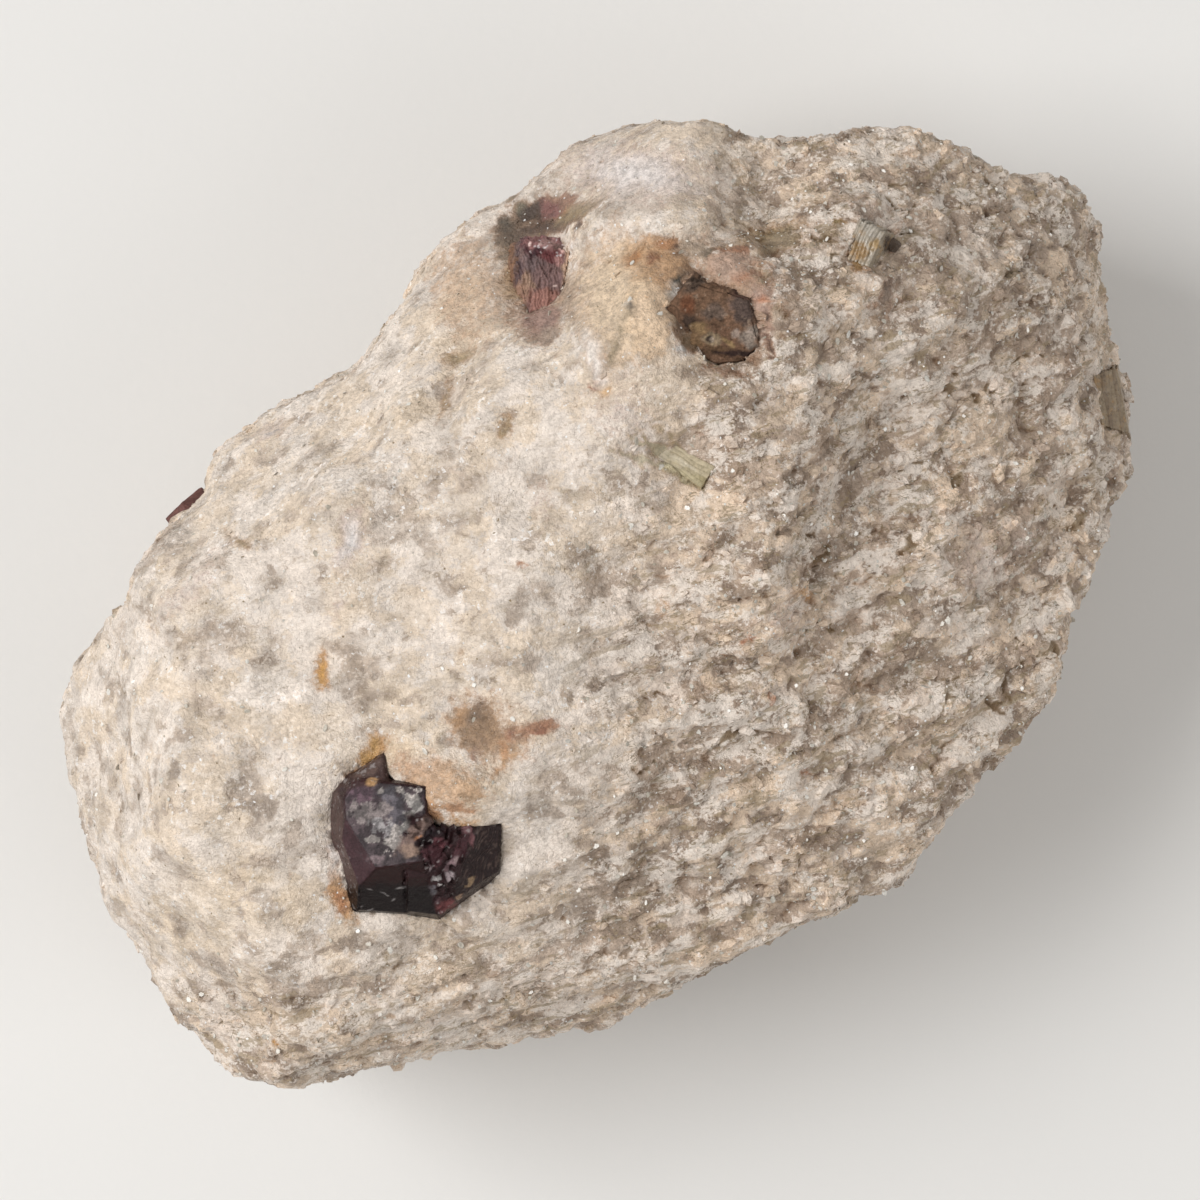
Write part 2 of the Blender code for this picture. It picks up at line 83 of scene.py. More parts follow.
def lattice_hash(cells: np.ndarray, seed: int) -> np.ndarray:
    """Mixes the whole-number places of a lattice into evenly spread whole numbers.

    Args:
        cells: Lattice places, with the three axes last.
        seed: Which of many like lattices.

    Returns:
        One unsigned 32-bit number for each place.
    """
    whole = cells.astype(np.int64).astype(np.uint32)
    mixed = whole[..., 0] * np.uint32(0x8DA6B343)
    mixed = mixed ^ (whole[..., 1] * np.uint32(0xD8163841))
    mixed = mixed ^ (whole[..., 2] * np.uint32(0xCB1AB31F))
    mixed = mixed ^ np.uint32((seed * 0x9E3779B1) & 0xFFFFFFFF)
    mixed = (mixed ^ (mixed >> np.uint32(15))) * np.uint32(0x2C1B3C6D)
    mixed = (mixed ^ (mixed >> np.uint32(12))) * np.uint32(0x297A2D39)
    return mixed ^ (mixed >> np.uint32(15))


def share(key: np.ndarray, channel: int = 0) -> np.ndarray:
    """An even random share, 0 to 1, from each key.

    Args:
        key: Numbers from lattice_hash.
        channel: Which of several shares of the same key.

    Returns:
        One share for each key.
    """
    again = (key + np.uint32((channel * 0x85EBCA6B) & 0xFFFFFFFF)) * np.uint32(0x9E3779B1)
    again = again ^ (again >> np.uint32(16))
    again = again * np.uint32(0x7FEB352D)
    again = again ^ (again >> np.uint32(15))
    return again.astype(np.float64) / 4294967296.0


def smooth_noise(points: np.ndarray, width: float, seed: int) -> np.ndarray:
    """Smooth noise of -1 to 1, with lumps about width across.

    Args:
        points: Places in millimetres.
        width: The lumps' size.
        seed: Which of many like fields.

    Returns:
        One value for each point.
    """
    place = points / width
    base = np.floor(place)
    part = place - base
    part = part * part * part * (part * (part * 6 - 15) + 10)
    total = np.zeros(len(points))
    for corner in itertools.product((0, 1), repeat=3):
        weight = np.ones(len(points))
        for axis, side in enumerate(corner):
            weight = weight * (part[:, axis] if side else 1 - part[:, axis])
        total += weight * share(lattice_hash(base + np.array(corner), seed))
    return total * 2 - 1


OCTAVE_TURN = np.array(((0.36, 0.48, -0.8), (-0.8, 0.6, 0.0), (0.48, 0.64, 0.6)))


def fractal_noise(points: np.ndarray, width: float, seed: int, octaves: int = 4, fall: float = 0.5) -> np.ndarray:
    """Noise of about -1 to 1 with finer lumps on its coarse ones.

    Args:
        points: Places in millimetres.
        width: The coarsest lumps' size.
        seed: Which of many like fields.
        octaves: How many sizes of lumps, each half as wide as the last.
        fall: How high each size is, as a share of the last.

    Returns:
        One value for each point.
    """
    total = np.zeros(len(points))
    place = points
    height = 1.0
    for octave in range(octaves):
        total += height * smooth_noise(place, width / 2**octave, seed * 31 + octave)
        place = place @ OCTAVE_TURN
        height *= fall
    return total


def vector_noise(points: np.ndarray, width: float, seed: int, octaves: int = 2) -> np.ndarray:
    """Three fields of fractal noise, as a vector at each point.

    Args:
        points: Places in millimetres.
        width: The coarsest lumps' size.
        seed: Which of many like fields.
        octaves: How many sizes of lumps.

    Returns:
        One vector for each point.
    """
    fields = [fractal_noise(points, width, seed + 7 * axis, octaves) for axis in range(3)]
    return np.stack(fields, axis=1)


@dataclass(frozen=True)
class CellField:
    """Where each point lies among randomly placed grains.

    near is the distance to the nearest grain's middle, gap how much further the next one is, key the
    grain's own number, and reach the way from its middle to the point.
    """

    near: np.ndarray
    gap: np.ndarray
    key: np.ndarray
    reach: np.ndarray


def grains_at(places: np.ndarray, seed: int) -> CellField:
    """Finds each point's grain, in a packing of grains one unit wide.

    Args:
        places: Places in grain widths.
        seed: Which of many like packings.

    Returns:
        The points' grains.
    """
    base = np.floor(places)
    count = len(places)
    best = np.full(count, 9.0)
    second = np.full(count, 9.0)
    key = np.zeros(count, np.uint32)
    reach = np.zeros((count, 3))
    for corner in itertools.product((-1, 0, 1), repeat=3):
        cell = base + np.array(corner)
        mixed = lattice_hash(cell, seed)
        middle = cell + np.stack([share(mixed, axis) for axis in range(3)], axis=1)
        away = places - middle
        distance = np.sqrt((away * away).sum(axis=1))
        closer = distance < best
        second = np.where(closer, best, np.minimum(second, distance))
        best = np.where(closer, distance, best)
        key = np.where(closer, mixed, key)
        reach[closer] = away[closer]
    return CellField(best, second - best, key, reach)


def tilted(grains: CellField) -> np.ndarray:
    """The height of a plane through each grain's middle, tilted its own way, at each point."""
    lean = np.stack([share(grains.key, channel) for channel in (3, 4, 5)], axis=1) * 2 - 1
    return (grains.reach * lean).sum(axis=1)


def ramp(values: np.ndarray, low: float, high: float) -> np.ndarray:
    """0 below low, 1 above high, and smooth between them."""
    part = np.clip((values - low) / (high - low), 0, 1)
    return part * part * (3 - 2 * part)


def fade(distance: np.ndarray) -> np.ndarray:
    """1 at distance 0, falling smoothly to 0 at distance 1 and beyond."""
    return 1 - ramp(distance, 0.0, 1.0)


def as_seen(points: np.ndarray) -> np.ndarray:
    """Each point's place as the camera sees it, against the rule at the rim's height."""
    return points[:, :2] * ((CAMERA_HEIGHT - RIM_HEIGHT) / (CAMERA_HEIGHT - points[:, 2]))[:, None]


def mesh_points(mesh: bpy.types.Mesh) -> np.ndarray:
    """The mesh's points in millimetres."""
    flat = np.empty(len(mesh.vertices) * 3, np.float32)
    mesh.vertices.foreach_get("co", flat)
    return flat.reshape(-1, 3).astype(float) / MM


def mesh_normals(mesh: bpy.types.Mesh) -> np.ndarray:
    """The way each point of the mesh faces."""
    flat = np.empty(len(mesh.vertices) * 3, np.float32)
    mesh.vertices.foreach_get("normal", flat)
    return flat.reshape(-1, 3).astype(float)


def set_points(mesh: bpy.types.Mesh, points: np.ndarray) -> None:
    """Moves the mesh's points to places in millimetres."""
    mesh.vertices.foreach_set("co", (points * MM).astype(np.float32).ravel())
    mesh.update()


def set_values(mesh: bpy.types.Mesh, name: str, values: np.ndarray) -> None:
    """Stores one number for each point of the mesh, for its material to read."""
    made = mesh.attributes.new(name, "FLOAT", "POINT")
    made.data.foreach_set("value", values.astype(np.float32))


def set_colours(mesh: bpy.types.Mesh, name: str, colours: np.ndarray) -> None:
    """Stores one colour for each point of the mesh, for its material to read."""
    made = mesh.attributes.new(name, "FLOAT_COLOR", "POINT")
    full = np.concatenate((colours, np.ones((len(colours), 1))), axis=1)
    made.data.foreach_set("color", full.astype(np.float32).ravel())


def new_object(name: str, mesh: bpy.types.Mesh) -> bpy.types.Object:
    """An object in the scene with that mesh."""
    made = bpy.data.objects.new(name, mesh)
    bpy.context.scene.collection.objects.link(made)
    return made


def evaluated_copy(holder: bpy.types.Object) -> bpy.types.Mesh:
    """The mesh that the object's modifiers make, as a new mesh."""
    bpy.context.view_layer.update()
    graph = bpy.context.evaluated_depsgraph_get()
    return bpy.data.meshes.new_from_object(holder.evaluated_get(graph))


def solid_copy(node: str) -> bpy.types.Mesh:
    """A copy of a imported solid's mesh, with its faces joined at their edges."""
    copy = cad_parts[node].data.copy()
    copy.materials.clear()
    body = bmesh.new()
    body.from_mesh(copy)
    bmesh.ops.remove_doubles(body, verts=body.verts[:], dist=1e-6)
    body.to_mesh(copy)
    body.free()
    return copy


def fine_net(node: str, step: float, softening: int) -> bpy.types.Mesh:
    """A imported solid's form on an even fine net, with its sharp edges a little worn.

    Args:
        node: The solid's name.
        step: The net's spacing in millimetres.
        softening: How many times the net is smoothed.

    Returns:
        The new mesh.
    """
    holder = new_object(f"{node}_blank", solid_copy(node))
    remesh = holder.modifiers.new("net", "REMESH")
    remesh.mode = "VOXEL"
    remesh.voxel_size = step * MM
    if softening:
        soften = holder.modifiers.new("worn_edges", "SMOOTH")
        soften.iterations = softening
    net = evaluated_copy(holder)
    bpy.data.objects.remove(holder)
    return net


def finish_mesh(name: str, mesh: bpy.types.Mesh, material: bpy.types.Material) -> bpy.types.Object:
    """Makes the finished piece: smooth shading, one material, and no other data left over.

    Args:
        name: The piece's name.
        mesh: Its mesh.
        material: What it is made of.

    Returns:
        The piece.
    """
    mesh.materials.clear()
    mesh.materials.append(material)
    mesh.shade_smooth()
    return new_object(name, mesh)


class Graph:
    """A material's nodes, added by short calls."""

    def __init__(self, name: str) -> None:
        """Starts a material with only its Principled shader."""
        self.material = bpy.data.materials.new(name)
        self.material.use_nodes = True
        self.nodes = self.material.node_tree.nodes
        self.links = self.material.node_tree.links
        self.shader = self.nodes["Principled BSDF"]
        self.place = self.scaled_place()

    def feed(self, socket: bpy.types.NodeSocket, value: object) -> None:
        """Links a socket to another, or sets its plain value."""
        if isinstance(value, bpy.types.NodeSocket):
            self.links.new(value, socket)
        elif isinstance(value, tuple) and socket.type == "RGBA":
            socket.default_value = (*value, 1.0)
        else:
            socket.default_value = value

    def scaled_place(self) -> bpy.types.NodeSocket:
        """The point's place in millimetres."""
        source = self.nodes.new("ShaderNodeTexCoord")
        scale = self.nodes.new("ShaderNodeVectorMath")
        scale.operation = "SCALE"
        scale.inputs["Scale"].default_value = 1 / MM
        self.links.new(source.outputs["Object"], scale.inputs[0])
        return scale.outputs[0]

    def math(self, operation: str, one: object, two: object = 0.0) -> bpy.types.NodeSocket:
        """A sum, product or other operation on two numbers."""
        made = self.nodes.new("ShaderNodeMath")
        made.operation = operation
        self.feed(made.inputs[0], one)
        self.feed(made.inputs[1], two)
        return made.outputs[0]

    def vector(self, operation: str, one: object, two: object) -> bpy.types.NodeSocket:
        """An operation on two vectors."""
        made = self.nodes.new("ShaderNodeVectorMath")
        made.operation = operation
        self.feed(made.inputs[0], one)
        self.feed(made.inputs[1], two)
        return made.outputs["Value" if operation == "DOT_PRODUCT" else "Vector"]

    def step(self, value: object, low: float, high: float, start: float = 0.0, end: float = 1.0) -> object:
        """A smooth step from start to end, as the value goes from low to high."""
        made = self.nodes.new("ShaderNodeMapRange")
        made.interpolation_type = "SMOOTHSTEP"
        self.feed(made.inputs["Value"], value)
        limits = {"From Min": low, "From Max": high, "To Min": start, "To Max": end}
        for name, limit in limits.items():
            made.inputs[name].default_value = limit
        return made.outputs["Result"]

    def combined(self, x: object, y: object, z: object) -> bpy.types.NodeSocket:
        """A vector of three numbers."""
        made = self.nodes.new("ShaderNodeCombineXYZ")
        for socket, value in zip(made.inputs, (x, y, z)):
            self.feed(socket, value)
        return made.outputs[0]

    def noise(self, width: float, detail: float = 3.0, rough: float = 0.55, place: object = None) -> object:
        """A noise texture's value, with lumps about width millimetres across."""
        made = self.nodes.new("ShaderNodeTexNoise")
        made.inputs["Scale"].default_value = 1 / width
        made.inputs["Detail"].default_value = detail
        made.inputs["Roughness"].default_value = rough
        self.feed(made.inputs["Vector"], place or self.place)
        return made.outputs["Fac"]

    def warped(self, width: float, reach: float) -> bpy.types.NodeSocket:
        """The place in millimetres, pushed about by noise as far as reach."""
        made = self.nodes.new("ShaderNodeTexNoise")
        made.inputs["Scale"].default_value = 1 / width
        made.inputs["Detail"].default_value = 1.0
        self.feed(made.inputs["Vector"], self.place)
        middle = self.vector("SUBTRACT", made.outputs["Color"], (0.5, 0.5, 0.5))
        push = self.vector("MULTIPLY", middle, (2 * reach, 2 * reach, 2 * reach))
        return self.vector("ADD", self.place, push)

    def grains(self, width: float, place: object = None) -> bpy.types.Node:
        """A Voronoi texture with grains about width millimetres across."""
        made = self.nodes.new("ShaderNodeTexVoronoi")
        made.inputs["Scale"].default_value = 1 / width
        self.feed(made.inputs["Vector"], place or self.place)
        return made

    def grain_planes(self, grains: bpy.types.Node, width: float, place: object = None) -> object:
        """The height of a plane tilted its own way in each grain, for broken crystal faces."""
        scaled = self.vector("MULTIPLY", place or self.place, (1 / width,) * 3)
        middle = self.vector("MULTIPLY", grains.outputs["Position"], (1 / width,) * 3)
        reach = self.vector("SUBTRACT", scaled, middle)
        lean = self.vector("SUBTRACT", grains.outputs["Color"], (0.5, 0.5, 0.5))
        return self.vector("DOT_PRODUCT", reach, lean)

    def stored(self, name: str) -> bpy.types.NodeSocket:
        """The number stored at the mesh's points under that name."""
        made = self.nodes.new("ShaderNodeAttribute")
        made.attribute_name = name
        return made.outputs["Fac"]

    def tint(self, name: str) -> bpy.types.NodeSocket:
        """The colour stored at the mesh's points under that name."""
        made = self.nodes.new("ShaderNodeAttribute")
        made.attribute_name = name
        return made.outputs["Color"]

    def mix(self, share_of_two: object, one: object, two: object, blend: str = "MIX") -> object:
        """A mix of two colours."""
        made = self.nodes.new("ShaderNodeMix")
        made.data_type = "RGBA"
        made.blend_type = blend
        self.feed(made.inputs["Factor"], share_of_two)
        self.feed(made.inputs[6], one)
        self.feed(made.inputs[7], two)
        return made.outputs[2]

    def bump(self, height: object, depth: float, below: object = None) -> bpy.types.NodeSocket:
        """Relief that only the shading shows, depth millimetres high."""
        made = self.nodes.new("ShaderNodeBump")
        made.inputs["Strength"].default_value = 1.0
        made.inputs["Distance"].default_value = depth * MM
        self.feed(made.inputs["Height"], height)
        if below is not None:
            self.feed(made.inputs["Normal"], below)
        return made.outputs["Normal"]

    def close(self, colour: object, rough: object, normal: object, **plain: object) -> bpy.types.Material:
        """Feeds the shader and returns the material.

        Args:
            colour: The base colour.
            rough: The roughness.
            normal: The normal.
            plain: Other inputs of the shader, with underscores for spaces, each the same all over.

        Returns:
            The finished material.
        """
        self.feed(self.shader.inputs["Base Color"], colour)
        self.feed(self.shader.inputs["Roughness"], rough)
        self.feed(self.shader.inputs["Normal"], normal)
        for name, value in plain.items():
            self.feed(self.shader.inputs[name.replace("_", " ")], value)
        return self.material


@dataclass(frozen=True)
class RockFinish:
    """Feldspar, quartz and their iron stains, with painted glints and painted hollow shade. The mesh stores where each
    is, and this gives their looks.
    """

    white: Colour = (0.87, 0.765, 0.672)
    cream: Colour = (0.79, 0.655, 0.52)
    warm: Colour = (0.80, 0.62, 0.42)
    quartz: Colour = (0.55, 0.445, 0.36)
    smoky: Colour = (0.36, 0.275, 0.21)
    snow: Colour = (0.90, 0.805, 0.715)
    olive: Colour = (0.36, 0.27, 0.165)
    painted_glint: Colour = (0.95, 0.94, 0.93)
    fleck: Colour = (0.27, 0.195, 0.105)
    crack: Colour = (0.265, 0.19, 0.10)
    # painted shade, with some dirt, multiplied in where the rock is hollow
    hollow_shade_and_dirt: Colour = (0.60, 0.48, 0.37)
    shade: Colour = (0.985, 0.93, 0.885)
    fray: float = 1.4
    streak_size: Colour = (2.8, 1.9, 0.75)
    cloud_size: Colour = (3.6, 2.6, 1.7)

    def minerals(self, graph: Graph, fine: object, shards: bpy.types.Node) -> tuple:
        """The colour of clean feldspar and quartz, with painted glints and a warm shade tint where the layering shows.

        Args:
            graph: The material's nodes.
            fine: Fine noise that frays the grains' borders.
            shards: The smallest broken grains, each with a tone of its own.

        Returns:
            The colour, and how much of it is quartz.
        """
        coarse = graph.stored("layered")
        ragged = graph.math("MULTIPLY", fine, self.fray)
        creamy = graph.step(graph.math("ADD", graph.stored("cream"), ragged), 1.05, 1.40)
        feldspar = graph.mix(creamy, self.white, self.cream)
        feldspar = graph.mix(graph.step(graph.stored("warm"), 0.15, 0.95), feldspar, self.warm)
        glassy = graph.math("ADD", graph.stored("quartz"), ragged)
        quartz_share = graph.step(glassy, 1.18, 1.34)
        quartz = graph.mix(graph.stored("smoke"), self.quartz, self.smoky)
        reach = graph.step(coarse, 0.0, 1.0, 0.80, 0.96)
        colour = graph.mix(graph.math("MULTIPLY", quartz_share, reach), feldspar, quartz)
        border = graph.step(graph.math("ABSOLUTE", graph.math("SUBTRACT", glassy, 1.20)), 0.0, 0.05, 0.55, 0.0)
        border = graph.math("MULTIPLY", border, graph.step(graph.noise(2.2, 1.0), 0.46, 0.62))
        colour = graph.mix(border, colour, self.crack)
        colour = graph.mix(1.0, colour, graph.step(fine, 0.30, 0.70, 0.80, 1.12), "MULTIPLY")
        broken = graph.math("MULTIPLY", graph.step(graph.noise(2.6, 2.0), 0.42, 0.60), 0.75)
        shard = graph.step(shards.outputs["Color"], 0.25, 0.75, 0.88, 1.08)
        colour = graph.mix(broken, colour, graph.mix(1.0, colour, shard, "MULTIPLY"))
        # Painted glints: near-white on some bright shards and on the peaks of the fine noise.
        lit = graph.math("MULTIPLY", graph.step(shards.outputs["Color"], 0.70, 0.74), graph.step(fine, 0.50, 0.57))
        lit = graph.math("MULTIPLY", lit, broken)
        colour = graph.mix(lit, colour, self.painted_glint)
        colour = graph.mix(graph.step(fine, 0.64, 0.70, 0.0, 0.75), colour, self.painted_glint)
        tone = graph.step(graph.stored("tone"), 0.0, 1.0, 0.80, 1.12)
        colour = graph.mix(1.0, colour, tone, "MULTIPLY")
        return graph.mix(coarse, colour, graph.mix(1.0, colour, self.shade, "MULTIPLY")), quartz_share

    def along_layers(self, graph: Graph, size: Colour) -> object:
        """The place in the layers' own frame, in units of that size along each of its axes."""
        return graph.combined(*(
            graph.vector("DOT_PRODUCT", graph.place, tuple(axis / width)) for axis, width in zip(LAYER_FRAME.T, size)
        ))

    def streaked(self, graph: Graph, colour: object, fine: object) -> object:
        """The colour with white and olive streaks and thin cracks, drawn out along the layers.

        Args:
            graph: The material's nodes.
            colour: The minerals' colour.
            fine: Fine noise that frays the streaks.

        Returns:
            The new colour.
        """
        wave = graph.noise(1.0, 3.0, 0.65, self.along_layers(graph, self.streak_size))
        cloud = graph.noise(1.0, 4.0, 0.68, self.along_layers(graph, self.cloud_size))
        layered = graph.stored("layered")
        cloudy = graph.step(graph.math("ADD", cloud, graph.math("MULTIPLY", fine, 0.45)), 0.715, 0.80)
        snowy = graph.math("MULTIPLY", cloudy, graph.step(layered, 0.0, 1.0, 0.30, 0.76))
        colour = graph.mix(snowy, colour, self.snow)
        frayed = graph.math("ADD", wave, graph.math("MULTIPLY", fine, 0.25))
        mossy = graph.math("MULTIPLY", graph.step(frayed, 0.705, 0.755), graph.step(layered, 0.0, 1.0, 0.25, 0.72))
        colour = graph.mix(mossy, colour, self.olive)
        line = graph.step(graph.math("ABSOLUTE", graph.math("SUBTRACT", wave, 0.5)), 0.003, 0.016, 0.8, 0.0)
        here = graph.math("MULTIPLY", graph.step(graph.noise(1.7, 1.0), 0.47, 0.60), graph.step(layered, 0.0, 1.0, 0.35, 1.0))
        vein = graph.step(graph.math("ADD", graph.stored("vein"), graph.math("MULTIPLY", fine, 0.9)), 0.72, 1.10, 0.0, 0.8)
        return graph.mix(graph.math("MAXIMUM", graph.math("MULTIPLY", line, here), vein), colour, self.crack)

    def stained(self, graph: Graph, colour: object) -> object:
        """The colour with the stains that the mesh stores, broken up at their borders."""
        speckle = graph.math("MULTIPLY", graph.math("SUBTRACT", graph.noise(0.50, 4.0, 0.80), 0.5), 1.6)
        amount = graph.step(graph.math("ADD", graph.stored("stain"), speckle), 0.06, 0.72, 0.0, 0.97)
        amount = graph.math("MULTIPLY", amount, graph.step(graph.stored("stain"), 0.0, 0.20))
        tone = graph.step(graph.noise(0.60, 3.0, 0.8), 0.30, 0.70, 0.72, 1.24)
        return graph.mix(amount, colour, graph.mix(1.0, graph.tint("stain_colour"), tone, "MULTIPLY"))

    def material(self) -> bpy.types.Material:
        """The rock's material."""
        graph = Graph("matrix_rock")
        loose = graph.warped(0.45, 0.18)
        fine = graph.noise(0.36, 4.0, 0.76)
        shards = graph.grains(0.36)
        colour, quartz_share = self.minerals(graph, fine, shards)
        colour = self.streaked(graph, colour, fine)
        colour = self.stained(graph, colour)
        # Painted shade and dirt: stored hollows, cracks, pits, crevices and low places darken the colour.
        hollow = graph.math("ADD", graph.stored("hollow"), graph.math("MULTIPLY", fine, 0.5))
        colour = graph.mix(graph.step(hollow, 0.48, 1.15, 0.0, 0.85), colour, self.hollow_shade_and_dirt, "MULTIPLY")
        specks = graph.grains(0.80, loose)
        dot = graph.step(specks.outputs["Distance"], 0.05, 0.13, 1.0, 0.0)
        dark = graph.step(specks.outputs["Color"], 0.62, 0.66)
        # Painted glints: white dots on some of the specks.
        light = graph.step(specks.outputs["Color"], 0.44, 0.40)
        colour = graph.mix(graph.math("MULTIPLY", dot, dark), colour, self.fleck)
        colour = graph.mix(graph.math("MULTIPLY", dot, light), colour, self.painted_glint)
        planes = graph.math("MULTIPLY", graph.grain_planes(shards, 0.36), 0.16)
        height = graph.math("ADD", planes, graph.math("MULTIPLY", graph.noise(0.42, 3.0, 0.78), 0.27))
        relief = graph.bump(height, 1.0)
        rough = graph.step(shards.outputs["Color"], 0.30, 0.75, 0.26, 0.62)
        rough = graph.math("SUBTRACT", rough, graph.math("MULTIPLY", quartz_share, 0.06))
        return graph.close(colour, rough, relief, Specular_IOR_Level=0.45, IOR=1.53)


@dataclass(frozen=True)
class GarnetFinish:
    """Dark almandine. The mesh stores its colour, its roughness and its fine grooves at each point."""

    name: str = "garnet"
    mottle: float = 0.38
    grit: float = 0.05
    gloss: float = 0.20

    def material(self) -> bpy.types.Material:
        """The crystal's material."""
        graph = Graph(self.name)
        fine = graph.noise(0.17, 5.0, 0.80)
        coarse = graph.noise(0.6, 4.0, 0.6)
        tone = graph.step(fine, 0.28, 0.72, 1 - self.mottle, 1 + self.mottle)
        colour = graph.mix(1.0, graph.tint("tint"), tone, "MULTIPLY")
        tone = graph.step(coarse, 0.30, 0.70, 0.90, 1.10)
        colour = graph.mix(1.0, colour, tone, "MULTIPLY")
        height = graph.math("MULTIPLY", fine, self.grit)
        height = graph.math("ADD", height, graph.math("MULTIPLY", graph.stored("groove"), 0.04))
        rough = graph.math("ADD", graph.stored("rough"), graph.step(coarse, 0.3, 0.7, -0.04, 0.06))
        return graph.close(colour, rough, graph.bump(height, 1.0), Specular_IOR_Level=self.gloss, IOR=1.5)


@dataclass(frozen=True)
class MicaFinish:
    """Pearly mica sheets. The mesh stores each sheet's tone."""

    name: str
    light: Colour
    dark: Colour
    stain: Colour = (0.42, 0.24, 0.09)
    stained: float = 0.0
    rough: float = 0.24

    def material(self) -> bpy.types.Material:
        """The sheets' material."""
        graph = Graph(self.name)
        colour = graph.mix(graph.stored("tone"), self.dark, self.light)
        colour = graph.mix(graph.stored("painted"), colour, graph.tint("tint"))
        fine = graph.step(graph.noise(0.3, 5.0, 0.75), 0.3, 0.7, 0.75, 1.2)
        colour = graph.mix(1.0, colour, fine, "MULTIPLY")
        patch = graph.step(graph.noise(0.9, 4.0, 0.6), 0.62 - 0.3 * self.stained, 0.78 - 0.3 * self.stained)
        colour = graph.mix(graph.math("MULTIPLY", patch, min(1.0, self.stained * 2)), colour, self.stain)
        relief = graph.bump(graph.noise(0.5, 4.0), 0.03)
        rough = graph.step(graph.noise(0.3, 3.0), 0.3, 0.7, self.rough, self.rough + 0.2)
        return graph.close(colour, rough, relief, Specular_IOR_Level=0.6, IOR=1.58)


class Mark(Enum):
    """What a patch of the rock is marked with. Quartz and warm each have a stored number of the same name; the others
    are laid into the stains.
    """

    WARM = "warm"
    QUARTZ = "quartz"
    CHALK = "chalk"
    OCHRE = "ochre"
    RUST = "rust"
    TAN = "tan"
    OLIVE = "olive"
    BROWN = "brown"


STAIN_COLOURS = {
    Mark.CHALK: (0.90, 0.88, 0.87),
    Mark.OCHRE: (0.60, 0.32, 0.085),
    Mark.RUST: (0.31, 0.105, 0.038),
    Mark.TAN: (0.47, 0.28, 0.18),
    Mark.OLIVE: (0.30, 0.235, 0.125),
    Mark.BROWN: (0.125, 0.070, 0.042),
}


@dataclass(frozen=True)
class Stroke:
    """An oval touch of colour, in the places of the crystal or rock that it lies on."""

    colour: Colour
    x: float
    y: float
    length: float
    width: float
    angle: float = 0.0
    cover: float = 1.0
    border: float = 0.35

    def on(self, places: np.ndarray, ragged: np.ndarray) -> np.ndarray:
        """How strong the touch is at each place.

        Args:
            places: The points' places.
            ragged: Noise of about -1 to 1 that frays its border.

        Returns:
            A share for each place.
        """
        turn = math.radians(self.angle)
        dx = places[:, 0] - self.x
        dy = places[:, 1] - self.y
        along = dx * math.cos(turn) + dy * math.sin(turn)
        across = dy * math.cos(turn) - dx * math.sin(turn)
        distance = np.hypot(along / self.length, across / self.width) + 0.25 * ragged
        return self.cover * (1 - ramp(distance, 1 - self.border, 1 + self.border))


def painted(colours: np.ndarray, strokes: Sequence[Stroke], places: np.ndarray, ragged: np.ndarray) -> np.ndarray:
    """Lays strokes of colour over the points' colours, one over the other.

    Args:
        colours: The points' colours.
        strokes: The touches, the lowest first.
        places: The points' places.
        ragged: Noise of about -1 to 1 that frays the borders.

    Returns:
        The new colours.
    """
    for stroke in strokes:
        amount = stroke.on(places, ragged)[:, None]
        colours = colours * (1 - amount) + np.array(stroke.colour) * amount
    return colours


@dataclass(frozen=True)
class Patch:
    """An oval patch of the upper side, as seen, that fades out at its rim."""

    mark: Mark
    x: float
    y: float
    length: float
    width: float
    angle: float
    strength: float

    def on(self, seen: np.ndarray) -> np.ndarray:
        """How strong the patch is at each place."""
        turn = math.radians(self.angle)
        dx = seen[:, 0] - self.x
        dy = seen[:, 1] - self.y
        along = dx * math.cos(turn) + dy * math.sin(turn)
        across = dy * math.cos(turn) - dx * math.sin(turn)
        return self.strength * fade(np.hypot(along / self.length, across / self.width) / 1.5)


